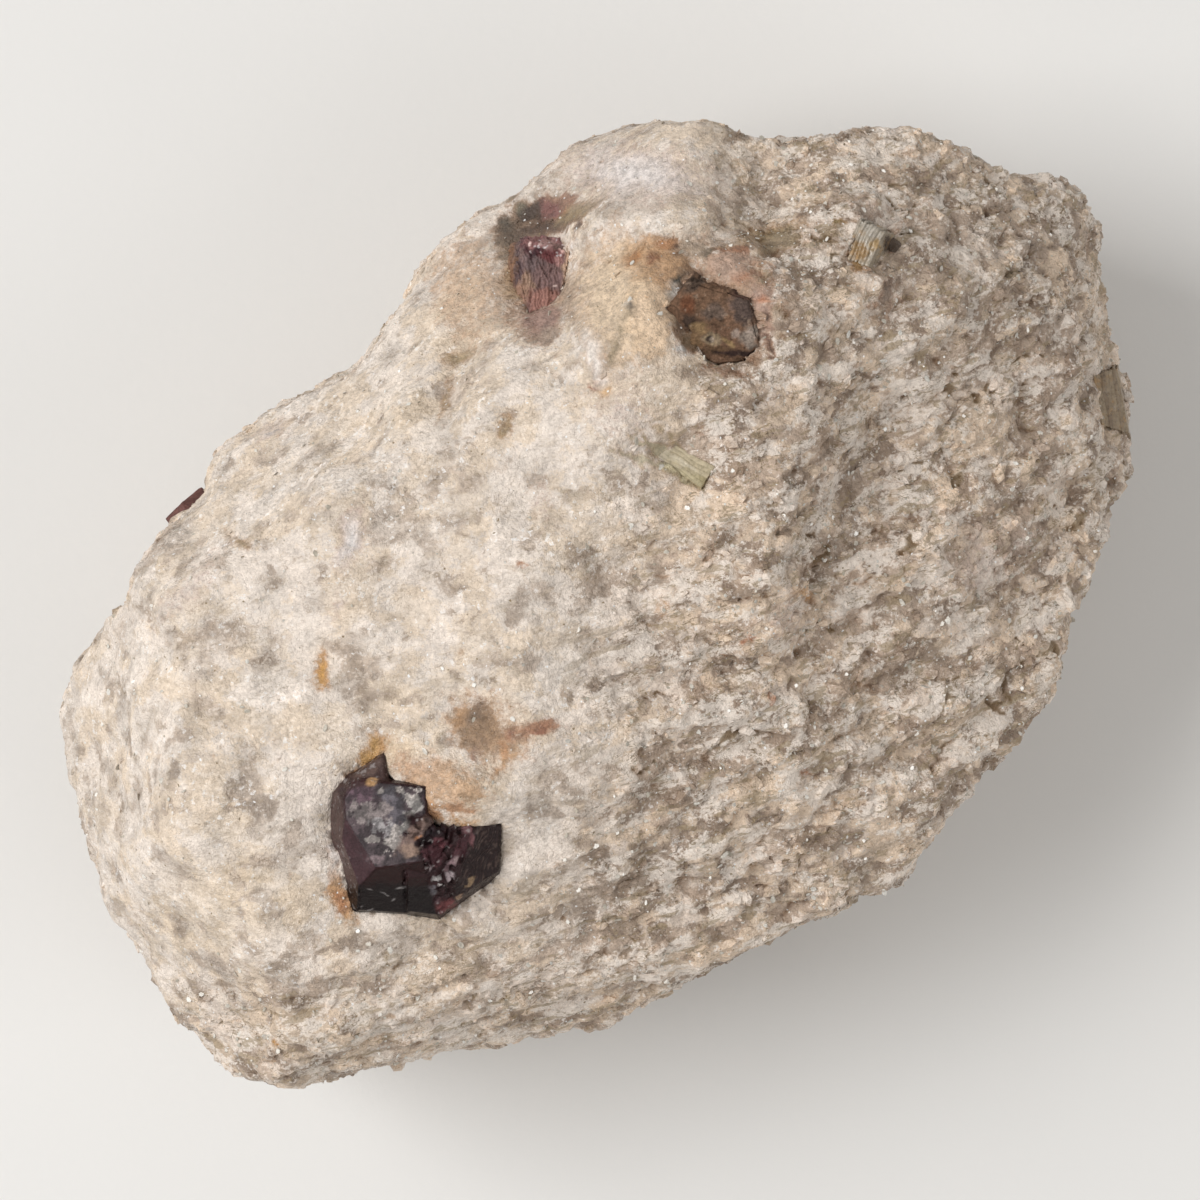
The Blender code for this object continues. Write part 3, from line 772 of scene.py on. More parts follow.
PATCHES = (
    # iron stain around the crystals
    Patch(Mark.RUST, 3.6, 24.7, 1.9, 1.4, -30, 0.75),
    Patch(Mark.RUST, 9.9, 24.4, 2.4, 1.0, -8, 0.55),
    Patch(Mark.RUST, 12.2, 21.2, 0.6, 2.4, 10, 0.60),
    Patch(Mark.RUST, 6.6, 18.6, 0.4, 0.5, 0, 0.95),
    Patch(Mark.RUST, -2.6, 28.3, 1.7, 0.8, 10, 0.85),
    Patch(Mark.RUST, -18.6, -21.6, 0.6, 1.3, 20, 0.75),
    Patch(Mark.OCHRE, -18.6, -22.2, 1.0, 1.9, 20, 0.80),
    Patch(Mark.OCHRE, -16.5, -11.5, 1.9, 0.7, 48, 1.00),
    Patch(Mark.RUST, -16.9, -11.2, 0.6, 0.4, 48, 0.70),
    Patch(Mark.RUST, -13.1, -15.0, 1.5, 0.5, 120, 0.65),
    Patch(Mark.OCHRE, -12.6, -14.2, 2.4, 1.0, 120, 0.65),
    Patch(Mark.OCHRE, -10.2, -16.3, 1.8, 0.6, 0, 0.50),
    # small spots and streaks
    Patch(Mark.RUST, -0.5, 15.8, 0.6, 0.45, 0, 1.00),
    Patch(Mark.RUST, -5.7, 2.3, 0.6, 0.4, 20, 0.85),
    Patch(Mark.RUST, 8.7, -3.8, 0.7, 0.2, 8, 1.00),
    Patch(Mark.RUST, 11.0, -2.8, 0.6, 0.2, 34, 0.95),
    Patch(Mark.RUST, 12.4, -7.2, 0.6, 0.2, 0, 0.95),
    Patch(Mark.RUST, 15.0, -12.5, 0.5, 0.3, -30, 0.70),
    Patch(Mark.OCHRE, -20.5, -5.2, 0.6, 1.5, -8, 1.00),
    Patch(Mark.OCHRE, -23.7, -32.3, 0.5, 0.4, 0, 0.90),
    Patch(Mark.OCHRE, 4.6, -0.6, 0.7, 0.9, 0, 0.50),
    Patch(Mark.OCHRE, 15.0, 0.3, 1.6, 0.8, -30, 0.55),
    # brown hollows and dark veins
    Patch(Mark.BROWN, -5.6, 27.9, 2.2, 1.2, 20, 0.85),
    Patch(Mark.BROWN, -6.9, 24.6, 0.5, 2.8, 0, 0.60),
    Patch(Mark.BROWN, -3.6, 19.2, 1.0, 1.6, 0, 0.35),
    Patch(Mark.BROWN, 1.2, 19.2, 2.8, 0.22, 68, 0.85),
    Patch(Mark.BROWN, 2.2, 21.8, 0.35, 0.3, 0, 1.00),
    Patch(Mark.BROWN, 7.3, 12.3, 0.8, 0.5, 0, 0.50),
    Patch(Mark.BROWN, 9.4, 16.7, 2.2, 0.4, -6, 0.80),
    Patch(Mark.OLIVE, -6.9, 12.8, 0.5, 1.0, 0, 0.85),
    Patch(Mark.OLIVE, -26.4, 4.4, 1.5, 0.4, -22, 0.85),
    Patch(Mark.OLIVE, -10.4, 18.0, 1.5, 0.45, 32, 0.90),
    Patch(Mark.OLIVE, -11.2, 14.8, 2.2, 0.35, 78, 0.75),
    Patch(Mark.OLIVE, 12.2, 26.8, 4.2, 0.7, 16, 0.75),
    Patch(Mark.OLIVE, 5.2, 9.8, 2.4, 0.9, -28, 0.45),
    Patch(Mark.OLIVE, 20.2, 21.2, 0.8, 0.5, 40, 0.60),
    # glassy grey quartz
    Patch(Mark.QUARTZ, 0.0, 1.9, 2.4, 1.8, 0, 0.55),
    Patch(Mark.QUARTZ, 2.4, 28.4, 4.0, 0.8, 8, 0.60),
    Patch(Mark.QUARTZ, 12.4, 30.0, 2.6, 1.0, 0, 0.55),
    Patch(Mark.QUARTZ, -31.2, 5.3, 1.5, 2.0, 0, 0.70),
    Patch(Mark.QUARTZ, -34.6, -2.0, 1.3, 1.0, 30, 0.55),
    Patch(Mark.QUARTZ, -30.6, -3.4, 1.6, 0.8, -20, 0.55),
    Patch(Mark.QUARTZ, -26.2, -1.8, 2.6, 1.2, -10, 0.40),
    Patch(Mark.QUARTZ, -8.2, 2.9, 0.4, 1.2, 0, 0.60),
    Patch(Mark.QUARTZ, 20.0, 6.0, 6.0, 8.0, 0, 0.22),
    Patch(Mark.QUARTZ, 10.0, -9.0, 4.0, 0.9, 4, 0.50),
    Patch(Mark.QUARTZ, 16.0, 12.0, 3.0, 2.0, 0, 0.30),
    # powdery white
    Patch(Mark.CHALK, -18.2, 4.2, 1.0, 2.6, -10, 0.80),
    Patch(Mark.CHALK, -19.4, -0.3, 0.4, 1.6, -14, 0.55),
    Patch(Mark.CHALK, -23.9, 12.3, 1.5, 0.8, 20, 0.60),
    Patch(Mark.CHALK, -0.4, 17.2, 0.4, 1.8, 24, 1.00),
    Patch(Mark.CHALK, -4.2, 7.2, 1.2, 2.2, 0, 0.35),
    Patch(Mark.CHALK, 1.6, 14.2, 3.2, 2.6, 0, 0.35),
    Patch(Mark.CHALK, 31.0, 4.4, 2.4, 1.6, 30, 0.35),
    # warm cream, then more powdery white and glassy grey quartz
    Patch(Mark.WARM, -27.0, -22.0, 8.0, 5.0, 0, 0.60),
    Patch(Mark.WARM, -10.0, 21.0, 3.4, 4.0, 0, 0.60),
    Patch(Mark.WARM, 1.8, 22.6, 2.6, 4.4, 0, 0.75),
    Patch(Mark.WARM, -15.4, -11.6, 3.4, 2.0, 30, 0.75),
    Patch(Mark.WARM, -9.2, -14.6, 3.4, 2.2, 0, 0.60),
    Patch(Mark.WARM, -20.0, -4.0, 2.0, 3.0, 0, 0.40),
    Patch(Mark.WARM, 26.0, 31.0, 6.0, 3.0, 0, 0.30),
    Patch(Mark.WARM, -14.0, 14.0, 4.5, 4.5, 0, 0.40),
    Patch(Mark.CHALK, 2.6, 31.2, 6.5, 2.4, -8, 0.72),
    Patch(Mark.CHALK, -30.0, 1.0, 5.0, 1.0, 52, 0.40),
    Patch(Mark.CHALK, 28.0, 2.6, 3.6, 3.0, 30, 0.38),
    Patch(Mark.CHALK, 13.4, -1.4, 1.8, 2.0, 0, 0.38),
    Patch(Mark.QUARTZ, 18.5, 6.4, 2.6, 1.6, -25, 0.45),
    Patch(Mark.QUARTZ, 23.0, 11.4, 3.8, 1.5, -20, 0.40),
    Patch(Mark.QUARTZ, -27.0, -1.3, 2.2, 1.5, 0, 0.40),
    Patch(Mark.QUARTZ, -14.6, -2.2, 1.0, 1.2, 0, 0.45),
    Patch(Mark.QUARTZ, -31.0, 4.4, 1.8, 2.8, 10, 0.55),
    Patch(Mark.QUARTZ, 22.0, 28.0, 6.0, 3.0, -10, 0.40),
)

# Stains round the crystals, the print of a lost crystal, and the thin blades of the mica fan.
POCKET_STAINS = (
    Stroke((0.500, 0.360, 0.240), -8.4, -9.5, 2.9, 2.1, -36, 0.80, 0.6),
    Stroke((0.320, 0.200, 0.115), -8.3, -9.3, 2.1, 1.6, -36, 0.94, 0.5),
    Stroke((0.270, 0.170, 0.100), -9.3, -8.9, 0.9, 1.5, -30, 0.75, 0.6),
    Stroke((0.170, 0.110, 0.070), -9.0, -7.7, 0.9, 0.45, 60, 0.90, 0.5),
    Stroke((0.520, 0.300, 0.150), -10.4, -8.6, 1.2, 0.22, 55, 0.80, 0.6),
    Stroke((0.330, 0.120, 0.065), -6.6, -9.6, 0.35, 0.55, 20, 0.90, 0.5),
    Stroke((0.160, 0.095, 0.085), -8.8, -11.0, 0.70, 0.30, 60, 0.90, 0.5),
    Stroke((0.520, 0.240, 0.100), -7.1, -11.1, 0.28, 0.75, 12, 0.85, 0.6),
    Stroke((0.560, 0.350, 0.190), -7.2, -12.0, 1.2, 0.25, 40, 0.75, 0.6),
    Stroke((0.360, 0.180, 0.105), -4.6, -9.5, 2.0, 0.50, 14, 0.92, 0.5),
    Stroke((0.330, 0.130, 0.080), -4.6, -9.9, 0.9, 0.16, 22, 0.80, 0.5),
    Stroke((0.660, 0.450, 0.260), -10.4, -13.4, 2.2, 1.2, -20, 0.70, 0.8),
    Stroke((0.450, 0.260, 0.120), -9.8, -14.1, 1.8, 0.22, -8, 0.80, 0.6),
    Stroke((0.640, 0.430, 0.285), -12.2, -13.0, 3.2, 1.7, -25, 0.70, 0.6),
    Stroke((0.480, 0.245, 0.125), -12.9, -14.6, 1.9, 0.40, 118, 0.90),
    Stroke((0.500, 0.270, 0.150), -10.4, -15.3, 1.6, 0.30, -8, 0.80),
    Stroke((0.560, 0.330, 0.120), -16.8, -11.0, 1.5, 0.55, 55, 0.95),
    Stroke((0.430, 0.220, 0.090), -17.9, -12.4, 0.8, 0.35, 60, 0.80),
    Stroke((0.560, 0.330, 0.170), -18.9, -21.4, 0.7, 2.0, 12, 0.90),
    Stroke((0.430, 0.185, 0.085), -18.7, -22.0, 0.35, 0.9, 12, 0.85),
    Stroke((0.700, 0.680, 0.660), -19.4, -18.6, 0.50, 1.4, 8, 0.70),
    # the blades of the mica fan
    Stroke((0.500, 0.455, 0.320), 4.0, 10.9, 2.9, 0.30, -22, 0.85),
    Stroke((0.560, 0.515, 0.380), 3.4, 10.1, 2.9, 0.24, -11, 0.80),
    Stroke((0.420, 0.370, 0.230), 5.0, 11.7, 2.0, 0.22, -40, 0.85),
    Stroke((0.380, 0.330, 0.200), 2.7, 12.4, 1.6, 0.14, -50, 0.80),
    Stroke((0.460, 0.410, 0.260), 6.0, 9.2, 2.0, 0.6, -33, 0.85),
    Stroke((0.300, 0.245, 0.150), 7.3, 8.3, 0.9, 0.3, -33, 0.80),
    # broad brown halos and the peach feldspar under what follows
    Stroke((0.790, 0.640, 0.460), 1.6, 22.0, 3.4, 5.0, 0, 0.75, 0.5),
    Stroke((0.740, 0.520, 0.320), 3.6, 21.2, 1.5, 3.4, 0, 0.75, 0.5),
    Stroke((0.720, 0.560, 0.400), -9.6, 22.6, 2.6, 4.0, 0, 0.55, 0.6),
    Stroke((0.420, 0.300, 0.215), -5.2, 23.6, 2.7, 4.6, 6, 0.70, 0.6),
    Stroke((0.440, 0.295, 0.200), 8.9, 21.6, 3.7, 3.9, 0, 0.66, 0.40),
    Stroke((0.330, 0.205, 0.170), -4.2, 20.4, 1.3, 1.5, 6, 0.88, 0.5),
    Stroke((0.800, 0.600, 0.420), 3.9, 20.6, 1.35, 2.8, 0, 0.90, 0.4),
    Stroke((0.240, 0.185, 0.110), 1.5, 19.4, 2.5, 0.26, 65, 0.80, 0.3),
    Stroke((0.860, 0.780, 0.710), -0.4, 17.4, 0.50, 2.3, 15, 0.80, 0.3),
    Stroke((0.620, 0.380, 0.170), 0.4, 15.2, 0.50, 0.55, 0, 0.80, 0.4),
    # the brown hollow above the striated crystal, and what runs down beside it
    Stroke((0.150, 0.098, 0.060), -6.6, 26.7, 1.3, 1.1),
    Stroke((0.110, 0.088, 0.064), -6.9, 27.3, 0.6, 0.5),
    Stroke((0.170, 0.145, 0.100), -5.7, 28.6, 0.7, 0.8),
    Stroke((0.060, 0.035, 0.024), -4.6, 28.3, 1.4, 0.75, 10),
    Stroke((0.240, 0.110, 0.095), -3.6, 28.6, 0.6, 0.6),
    Stroke((0.290, 0.165, 0.115), -2.6, 29.1, 1.0, 0.6, 15),
    Stroke((0.110, 0.062, 0.038), -3.5, 27.4, 1.9, 0.45, 8),
    Stroke((0.290, 0.205, 0.115), -2.1, 28.0, 1.0, 0.5, 20),
    Stroke((0.350, 0.270, 0.180), -0.7, 28.9, 1.6, 0.35, 25, 0.8),
    Stroke((0.090, 0.050, 0.032), -4.4, 26.85, 1.9, 0.55, 6, 0.95, 0.5),
    Stroke((0.110, 0.070, 0.045), -6.6, 26.2, 1.1, 0.9, 0, 0.90, 0.5),
    Stroke((0.230, 0.100, 0.088), -3.5, 28.5, 0.5, 0.5),
    Stroke((0.070, 0.050, 0.040), -1.85, 26.9, 0.32, 0.15, 60),
    Stroke((0.300, 0.205, 0.130), -6.8, 24.6, 0.7, 1.1, 0, 0.85, 0.5),
    Stroke((0.220, 0.160, 0.110), -7.3, 25.5, 0.6, 0.8, 0, 0.8),
    Stroke((0.440, 0.300, 0.180), -6.7, 23.1, 0.7, 1.5, 8, 0.8),
    Stroke((0.370, 0.285, 0.215), -2.3, 22.0, 0.6, 1.2, 0, 0.7),
    Stroke((0.360, 0.275, 0.210), -3.6, 19.4, 1.0, 0.8, 0, 0.75),
    Stroke((0.160, 0.120, 0.100), -1.3, 24.5, 0.10, 0.60, 4, 0.8),
    Stroke((0.160, 0.120, 0.100), -1.5, 23.0, 0.10, 0.55, -8, 0.8),
    # the rust, the rosy crust and the dark notch round the stained crystal
    Stroke((0.540, 0.340, 0.190), 4.1, 25.0, 2.3, 1.7, 0, 0.85, 0.5),
    Stroke((0.480, 0.290, 0.160), 4.9, 24.2, 1.3, 1.5, 0, 0.80, 0.5),
    Stroke((0.420, 0.215, 0.105), 5.1, 26.1, 1.1, 0.5, 5),
    Stroke((0.130, 0.065, 0.038), 5.8, 25.8, 0.35, 0.35),
    Stroke((0.210, 0.085, 0.035), 4.1, 25.0, 0.55, 0.30),
    Stroke((0.380, 0.180, 0.070), 2.5, 24.8, 0.55, 0.45),
    Stroke((0.330, 0.280, 0.220), 7.0, 25.9, 1.1, 0.6, 0, 0.7),
    Stroke((0.150, 0.120, 0.080), 8.1, 25.5, 0.7, 0.18, 25),
    Stroke((0.500, 0.350, 0.270), 9.4, 24.4, 1.6, 0.9, 0, 0.8),
    Stroke((0.370, 0.180, 0.105), 9.8, 25.5, 1.0, 0.28, -5),
    Stroke((0.400, 0.200, 0.120), 10.7, 23.7, 0.6, 0.45, 0, 0.8),
    Stroke((0.480, 0.330, 0.265), 11.9, 21.0, 0.75, 2.0, 8, 0.85, 0.5),
    Stroke((0.150, 0.078, 0.050), 12.3, 19.5, 0.36, 1.7, 8, 0.95),
    Stroke((0.090, 0.050, 0.032), 12.35, 18.1, 0.42, 0.45),
    Stroke((0.150, 0.092, 0.056), 6.1, 20.4, 0.70, 1.5, -12, 0.95, 0.35),
    Stroke((0.080, 0.052, 0.036), 6.0, 20.6, 0.35, 0.60, 0, 0.90),
    Stroke((0.165, 0.105, 0.055), 7.0, 18.8, 0.85, 0.85, 0, 0.95, 0.35),
    Stroke((0.110, 0.066, 0.045), 8.4, 18.0, 1.3, 0.35, -12, 0.90, 0.5),
    Stroke((0.190, 0.110, 0.070), 7.0, 23.7, 0.80, 0.50, 20, 0.90, 0.5),
    Stroke((0.560, 0.250, 0.145), 11.8, 21.6, 0.20, 0.50),
    Stroke((0.055, 0.055, 0.045), 5.65, 23.0, 0.75, 0.22, 40),
    Stroke((0.680, 0.620, 0.560), 5.5, 22.2, 0.50, 0.38),
    Stroke((0.720, 0.680, 0.640), 5.8, 18.4, 0.42, 0.35),
    Stroke((0.340, 0.075, 0.032), 6.4, 17.9, 0.24, 0.28),
    # A painted glint, then a dark spot beside it.
    Stroke((0.800, 0.780, 0.750), 2.1, 21.7, 0.30, 0.20),
    Stroke((0.050, 0.040, 0.032), 2.4, 21.5, 0.24, 0.26),
    Stroke((0.250, 0.205, 0.130), 13.2, 26.1, 1.9, 0.8, 20, 0.8),
    # ochre, olive and a dark hollow round the upper mica book
    Stroke((0.240, 0.135, 0.035), 18.7, 25.2, 1.1, 0.55, -30, 0.85, 0.5),
    Stroke((0.200, 0.145, 0.045), 17.6, 27.6, 0.60, 0.35, 20, 0.85, 0.5),
    Stroke((0.340, 0.310, 0.270), 19.9, 28.2, 1.5, 0.9, -30, 0.60, 0.6),
    Stroke((0.055, 0.040, 0.030), 21.2, 26.1, 0.45, 0.70, -15, 0.90),
    Stroke((0.120, 0.090, 0.070), 21.0, 22.4, 0.40, 1.1, -30, 0.85, 0.5),
    Stroke((0.300, 0.230, 0.180), 20.6, 21.6, 1.3, 1.0, 30, 0.60, 0.7),
)

# The layering of the rock: along its strike, across it in the layer, and upright through the layers.
LAYER_NORMAL = np.array((-0.2, 0.85, 0.5)) / np.linalg.norm((-0.2, 0.85, 0.5))
LAYER_STRIKE = np.cross(LAYER_NORMAL, (0, 0, 1)) / np.linalg.norm(np.cross(LAYER_NORMAL, (0, 0, 1)))
LAYER_FRAME = np.stack((LAYER_STRIKE, np.cross(LAYER_NORMAL, LAYER_STRIKE), LAYER_NORMAL), axis=1)


@dataclass
class Relief:
    """The fine relief of the rock at each point: its height, and how light, hollow, glassy, grey and cracked it is."""

    height: np.ndarray
    tone: np.ndarray
    hollow: np.ndarray
    quartz: np.ndarray
    cream: np.ndarray
    smoke: np.ndarray
    vein: np.ndarray


@dataclass
class MatrixRock:
    """The pale rock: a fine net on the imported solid, moved into grains, lenses and crevices."""

    node: str = "matrix"
    step: float = 0.26
    softening: int = 5
    triangles: int = 197000
    slab: Colour = (4.6, 3.4, 1.6)
    lump: Colour = (4.2, 2.7, 1.8)
    scale: Colour = (1.9, 1.4, 0.85)
    grain: float = 1.25
    fleck: float = 0.62
    streak: Colour = (2.0, 1.3, 0.65)
    ledge_spacing: float = 2.7
    ledge_height: float = 0.46
    foot: float = 8.0
    firmness: float = 0.96
    border: float = 0.56
    crispness: float = 1.9
    overlap: float = 0.10
    hug_reach: float = 0.55
    hug_fade: float = 1.2

    def layered_at(self, points: np.ndarray, normals: np.ndarray) -> np.ndarray:
        """How plainly the layering shows: faint on the left face, strong on the right and below.

        Args:
            points: The net's points.
            normals: The way each faces.

        Returns:
            A share for each point.
        """
        seen = as_seen(points)
        edge = 1.6 * fractal_noise(points, 5.0, 41, 2)
        right = ramp(seen[:, 0] * 0.95 - seen[:, 1] * 0.22 + 3 + edge, 0.0, 11.0)
        low = ramp(-seen[:, 1] - 18 + 0.25 * seen[:, 0] + edge, 0.0, 8.0)
        upper = np.maximum(right, 0.8 * low)
        flank = 1 - ramp(normals[:, 2], 0.05, 0.45)
        return np.clip(0.12 + 0.88 * np.maximum(upper, 0.6 * flank), 0, 1)

    def relief_at(self, points: np.ndarray, layered: np.ndarray) -> Relief:
        """The fine relief: broken ledges, slabs, scales, grains, cracks and pits.

        Args:
            points: The net's points.
            layered: How plainly the layering shows at each.

        Returns:
            The relief at each point.
        """
        warp = vector_noise(points, 4.2, 11, 3)
        place = (points + 1.1 * warp) @ LAYER_FRAME
        slab = grains_at(place / np.array(self.slab), 21)
        scale = grains_at(place / np.array(self.scale), 22)
        loose = points + 0.34 * vector_noise(points, 1.2, 13)
        grain = grains_at(loose / self.grain, 23)
        fleck = grains_at(loose / self.fleck, 24)
        rough = 0.22 + 0.78 * layered
        slab_rise = share(slab.key, 6)
        lump = grains_at((place + 0.35 * vector_noise(points, 0.9, 14)) / np.array(self.lump), 36)
        dome = 1 - np.clip(lump.near / 0.62, 0, 1) ** 2
        height = layered * (0.22 * (slab_rise - 0.5) + 0.15 * tilted(slab))
        height += layered * (0.16 + 0.40 * share(lump.key, 6)) * (dome - 0.5)
        height += rough * (0.10 * (share(scale.key, 6) - 0.5) + 0.12 * tilted(scale))
        height += rough * (0.09 * (share(grain.key, 6) - 0.5) + 0.15 * tilted(grain))
        height += (0.04 + 0.6 * rough) * (0.06 * (share(fleck.key, 6) - 0.5) + 0.11 * tilted(fleck))
        height += (0.03 + 0.09 * layered) * fractal_noise(points, 1.7, 28, 4)
        ledge, crevice = self.ledges_at(points, layered, share(slab.key, 11))
        height += ledge
        crack_place = (points + 1.2 * warp) @ LAYER_FRAME / np.array((6.0, 5.0, 2.3))
        crack = np.abs(smooth_noise(crack_place, 1.0, 25) + 0.10 * smooth_noise(points, 0.8, 35))
        open_here = ramp(smooth_noise(points, 3.1, 26) + 0.3 * layered, 0.46, 0.70)
        crack = (1 - ramp(crack, 0.0, 0.06)) * open_here * layered
        height -= 0.24 * crack
        pit = grains_at(points / 2.4, 27)
        pit_size = 0.08 + 0.14 * share(pit.key, 7)
        pit = (1 - ramp(pit.near, 0.4 * pit_size, pit_size)) * (share(pit.key, 8) > 0.45)
        height -= 0.20 * pit
        tone = 0.20 * slab_rise * layered + 0.20 * share(scale.key, 6) + (0.34 - 0.12 * layered) * share(grain.key, 9)
        tone += 0.22 * (1 - layered) * share(fleck.key, 9) + 0.18 + 0.16 * layered * (dome - 0.5)
        tone = ramp(tone + (0.20 + 0.10 * layered) * fractal_noise(points, 1.8, 29, 4, 0.6), 0.0, 1.0)
        # hollow drives the painted shade and dirt that darkens cracks, pits, crevices and low places.
        hollow = 0.7 * crack + 0.6 * pit + 0.6 * crevice
        hollow = np.clip(hollow + ramp(-height, 0.12, 0.55) * 0.60, 0, 1)
        streak_place = points @ LAYER_FRAME / np.array(self.streak)
        cloud = fractal_noise(points, 1.2, 37, 3, 0.7) + fractal_noise(streak_place, 1.0, 38, 3, 0.7)
        broad = 0.22 * fractal_noise(points, 3.4, 30, 2)
        grainy = 0.26 + 0.16 * layered
        quartz = 0.395 + 0.165 * layered + broad + (0.13 + 0.11 * layered) * cloud
        quartz += grainy * (share(grain.key, 12) - 0.5) - 0.22 * layered * (dome - 0.4)
        cream = 0.52 + 0.16 * layered + 0.34 * fractal_noise(points, 3.0, 39, 4, 0.65)
        cream += (0.36 - 0.16 * layered) * (share(grain.key, 14) - 0.5)
        vein = np.clip(0.9 * crack + 0.55 * crevice * ramp(smooth_noise(points, 2.1, 54), 0.0, 0.5), 0, 1)
        smoke = ramp(share(grain.key, 13) + 0.22 * cloud, 0.40, 0.95)
        return Relief(height, tone, hollow, np.clip(quartz, 0, 1), cream, smoke, vein)

    def ledges_at(self, points: np.ndarray, layered: np.ndarray, slip: np.ndarray) -> tuple:
        """Short broken ledges along the layering, whose lower sides drop off.

        Args:
            points: The net's points.
            layered: How plainly the layering shows at each.
            slip: How far the slab at each point has slipped, as a share of a ledge.

        Returns:
            The ledges' height, and how far each point lies in the crevice under one.
        """
        bend = 0.50 * fractal_noise(points, 6.0, 31, 3) + 0.22 * fractal_noise(points, 1.4, 32, 2)
        phase = points @ LAYER_NORMAL / self.ledge_spacing + bend + 0.45 * slip
        part = phase - np.floor(phase)
        broken = ramp(smooth_noise(points, 3.4, 33) + 0.3 * layered, 0.16, 0.56) * layered
        tooth = ramp(part, 0.0, 0.14) * (1 - part)
        foot = (1 - ramp(np.minimum(part, 1 - part), 0.0, 0.06)) * broken
        return self.ledge_height * broken * (tooth - 0.35) - 0.08 * foot, foot

    def stains_at(self, points: np.ndarray, seen: np.ndarray, marks: dict) -> tuple:
        """The stains of every kind, as one strength and one colour at each point.

        Args:
            points: The net's points.
            seen: Their places as seen, pushed about a little.
            marks: How strongly each kind of patch shows at each.

        Returns:
            The strengths and the colours.
        """
        strength = np.zeros(len(points))
        colours = np.zeros((len(points), 3)) + STAIN_COLOURS[Mark.TAN]
        for mark, colour in STAIN_COLOURS.items():
            amount = marks[mark][:, None]
            colours = colours * (1 - amount) + np.array(colour) * amount
            strength = np.maximum(strength, marks[mark])
        ragged = fractal_noise(points, 0.9, 52, 3)
        for stroke in POCKET_STAINS:
            amount = stroke.on(seen, ragged)
            colours = colours * (1 - amount[:, None]) + np.array(stroke.colour) * amount[:, None]
            strength = np.maximum(strength, amount)
        return strength, colours

    def footed(self, points: np.ndarray) -> np.ndarray:
        """The points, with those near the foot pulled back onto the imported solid.

        Args:
            points: The net's points.

        Returns:
            The moved points.
        """
        body = bmesh.new()
        body.from_mesh(solid_copy(self.node))
        tree = BVHTree.FromBMesh(body)
        body.free()
        moved = points.copy()
        for index in np.flatnonzero(points[:, 2] < self.foot):
            spot = tree.find_nearest(Vector(points[index] * MM))[0]
            pull = 1 - max(0.0, points[index, 2] / self.foot * 2 - 1)
            moved[index] += (np.array(spot) / MM - points[index]) * pull
        return moved

    def hug(self, points: np.ndarray, normals: np.ndarray, solids: Sequence[bpy.types.Mesh]) -> tuple:
        """Closes the seats: pulls the rock's points near a crystal onto it.

        Args:
            points: The net's points.
            normals: The way each faces.
            solids: The crystals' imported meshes.

        Returns:
            The moved points, how near each is to a crystal, and which are walls inside a seat.
        """
        moved = points.copy()
        near = np.zeros(len(points))
        wall = np.zeros(len(points), bool)
        for solid in solids:
            body = bmesh.new()
            body.from_mesh(solid)
            tree = BVHTree.FromBMesh(body)
            body.free()
            corners = mesh_points(solid)
            low = corners.min(axis=0) - self.hug_fade
            high = corners.max(axis=0) + self.hug_fade
            close = np.flatnonzero(((points > low) & (points < high)).all(axis=1))
            for index in close:
                spot, _, _, distance = tree.find_nearest(Vector(points[index] * MM), self.hug_fade * MM)
                if spot is None:
                    continue
                distance /= MM
                target = np.array(spot) / MM
                target += (target - points[index]) * (self.overlap / max(distance, 0.05))
                pull = 1.0 if distance < self.hug_reach else (self.hug_fade - distance) / (self.hug_fade - self.hug_reach)
                towards = target - points[index]
                moved[index] = points[index] + towards * pull
                near[index] = max(near[index], 1 - distance / self.hug_fade)
                facing = float(normals[index] @ towards) / max(distance, 0.01)
                wall[index] |= distance < self.hug_reach and facing > 0.55
        return moved, near, wall

    def thinned(self, net: bpy.types.Mesh, keep: np.ndarray) -> bpy.types.Mesh:
        """Fewer triangles, with most of them kept where the rock is seen.

        Args:
            net: The moved net.
            keep: How much each point's surroundings matter.

        Returns:
            The thinned mesh.
        """
        holder = new_object("rock_blank", net)
        group = holder.vertex_groups.new(name="spare")
        for level in range(5):
            chosen = np.flatnonzero((keep * 4).round() == level)
            group.add(chosen.tolist(), 1 - self.firmness * level / 4, "REPLACE")
        net.calc_loop_triangles()
        thin = holder.modifiers.new("thin", "DECIMATE")
        thin.ratio = self.triangles / len(net.loop_triangles)
        thin.use_collapse_triangulate = True
        thin.vertex_group = "spare"
        thin.vertex_group_factor = 0.00002
        made = evaluated_copy(holder)
        bpy.data.objects.remove(holder)
        return made

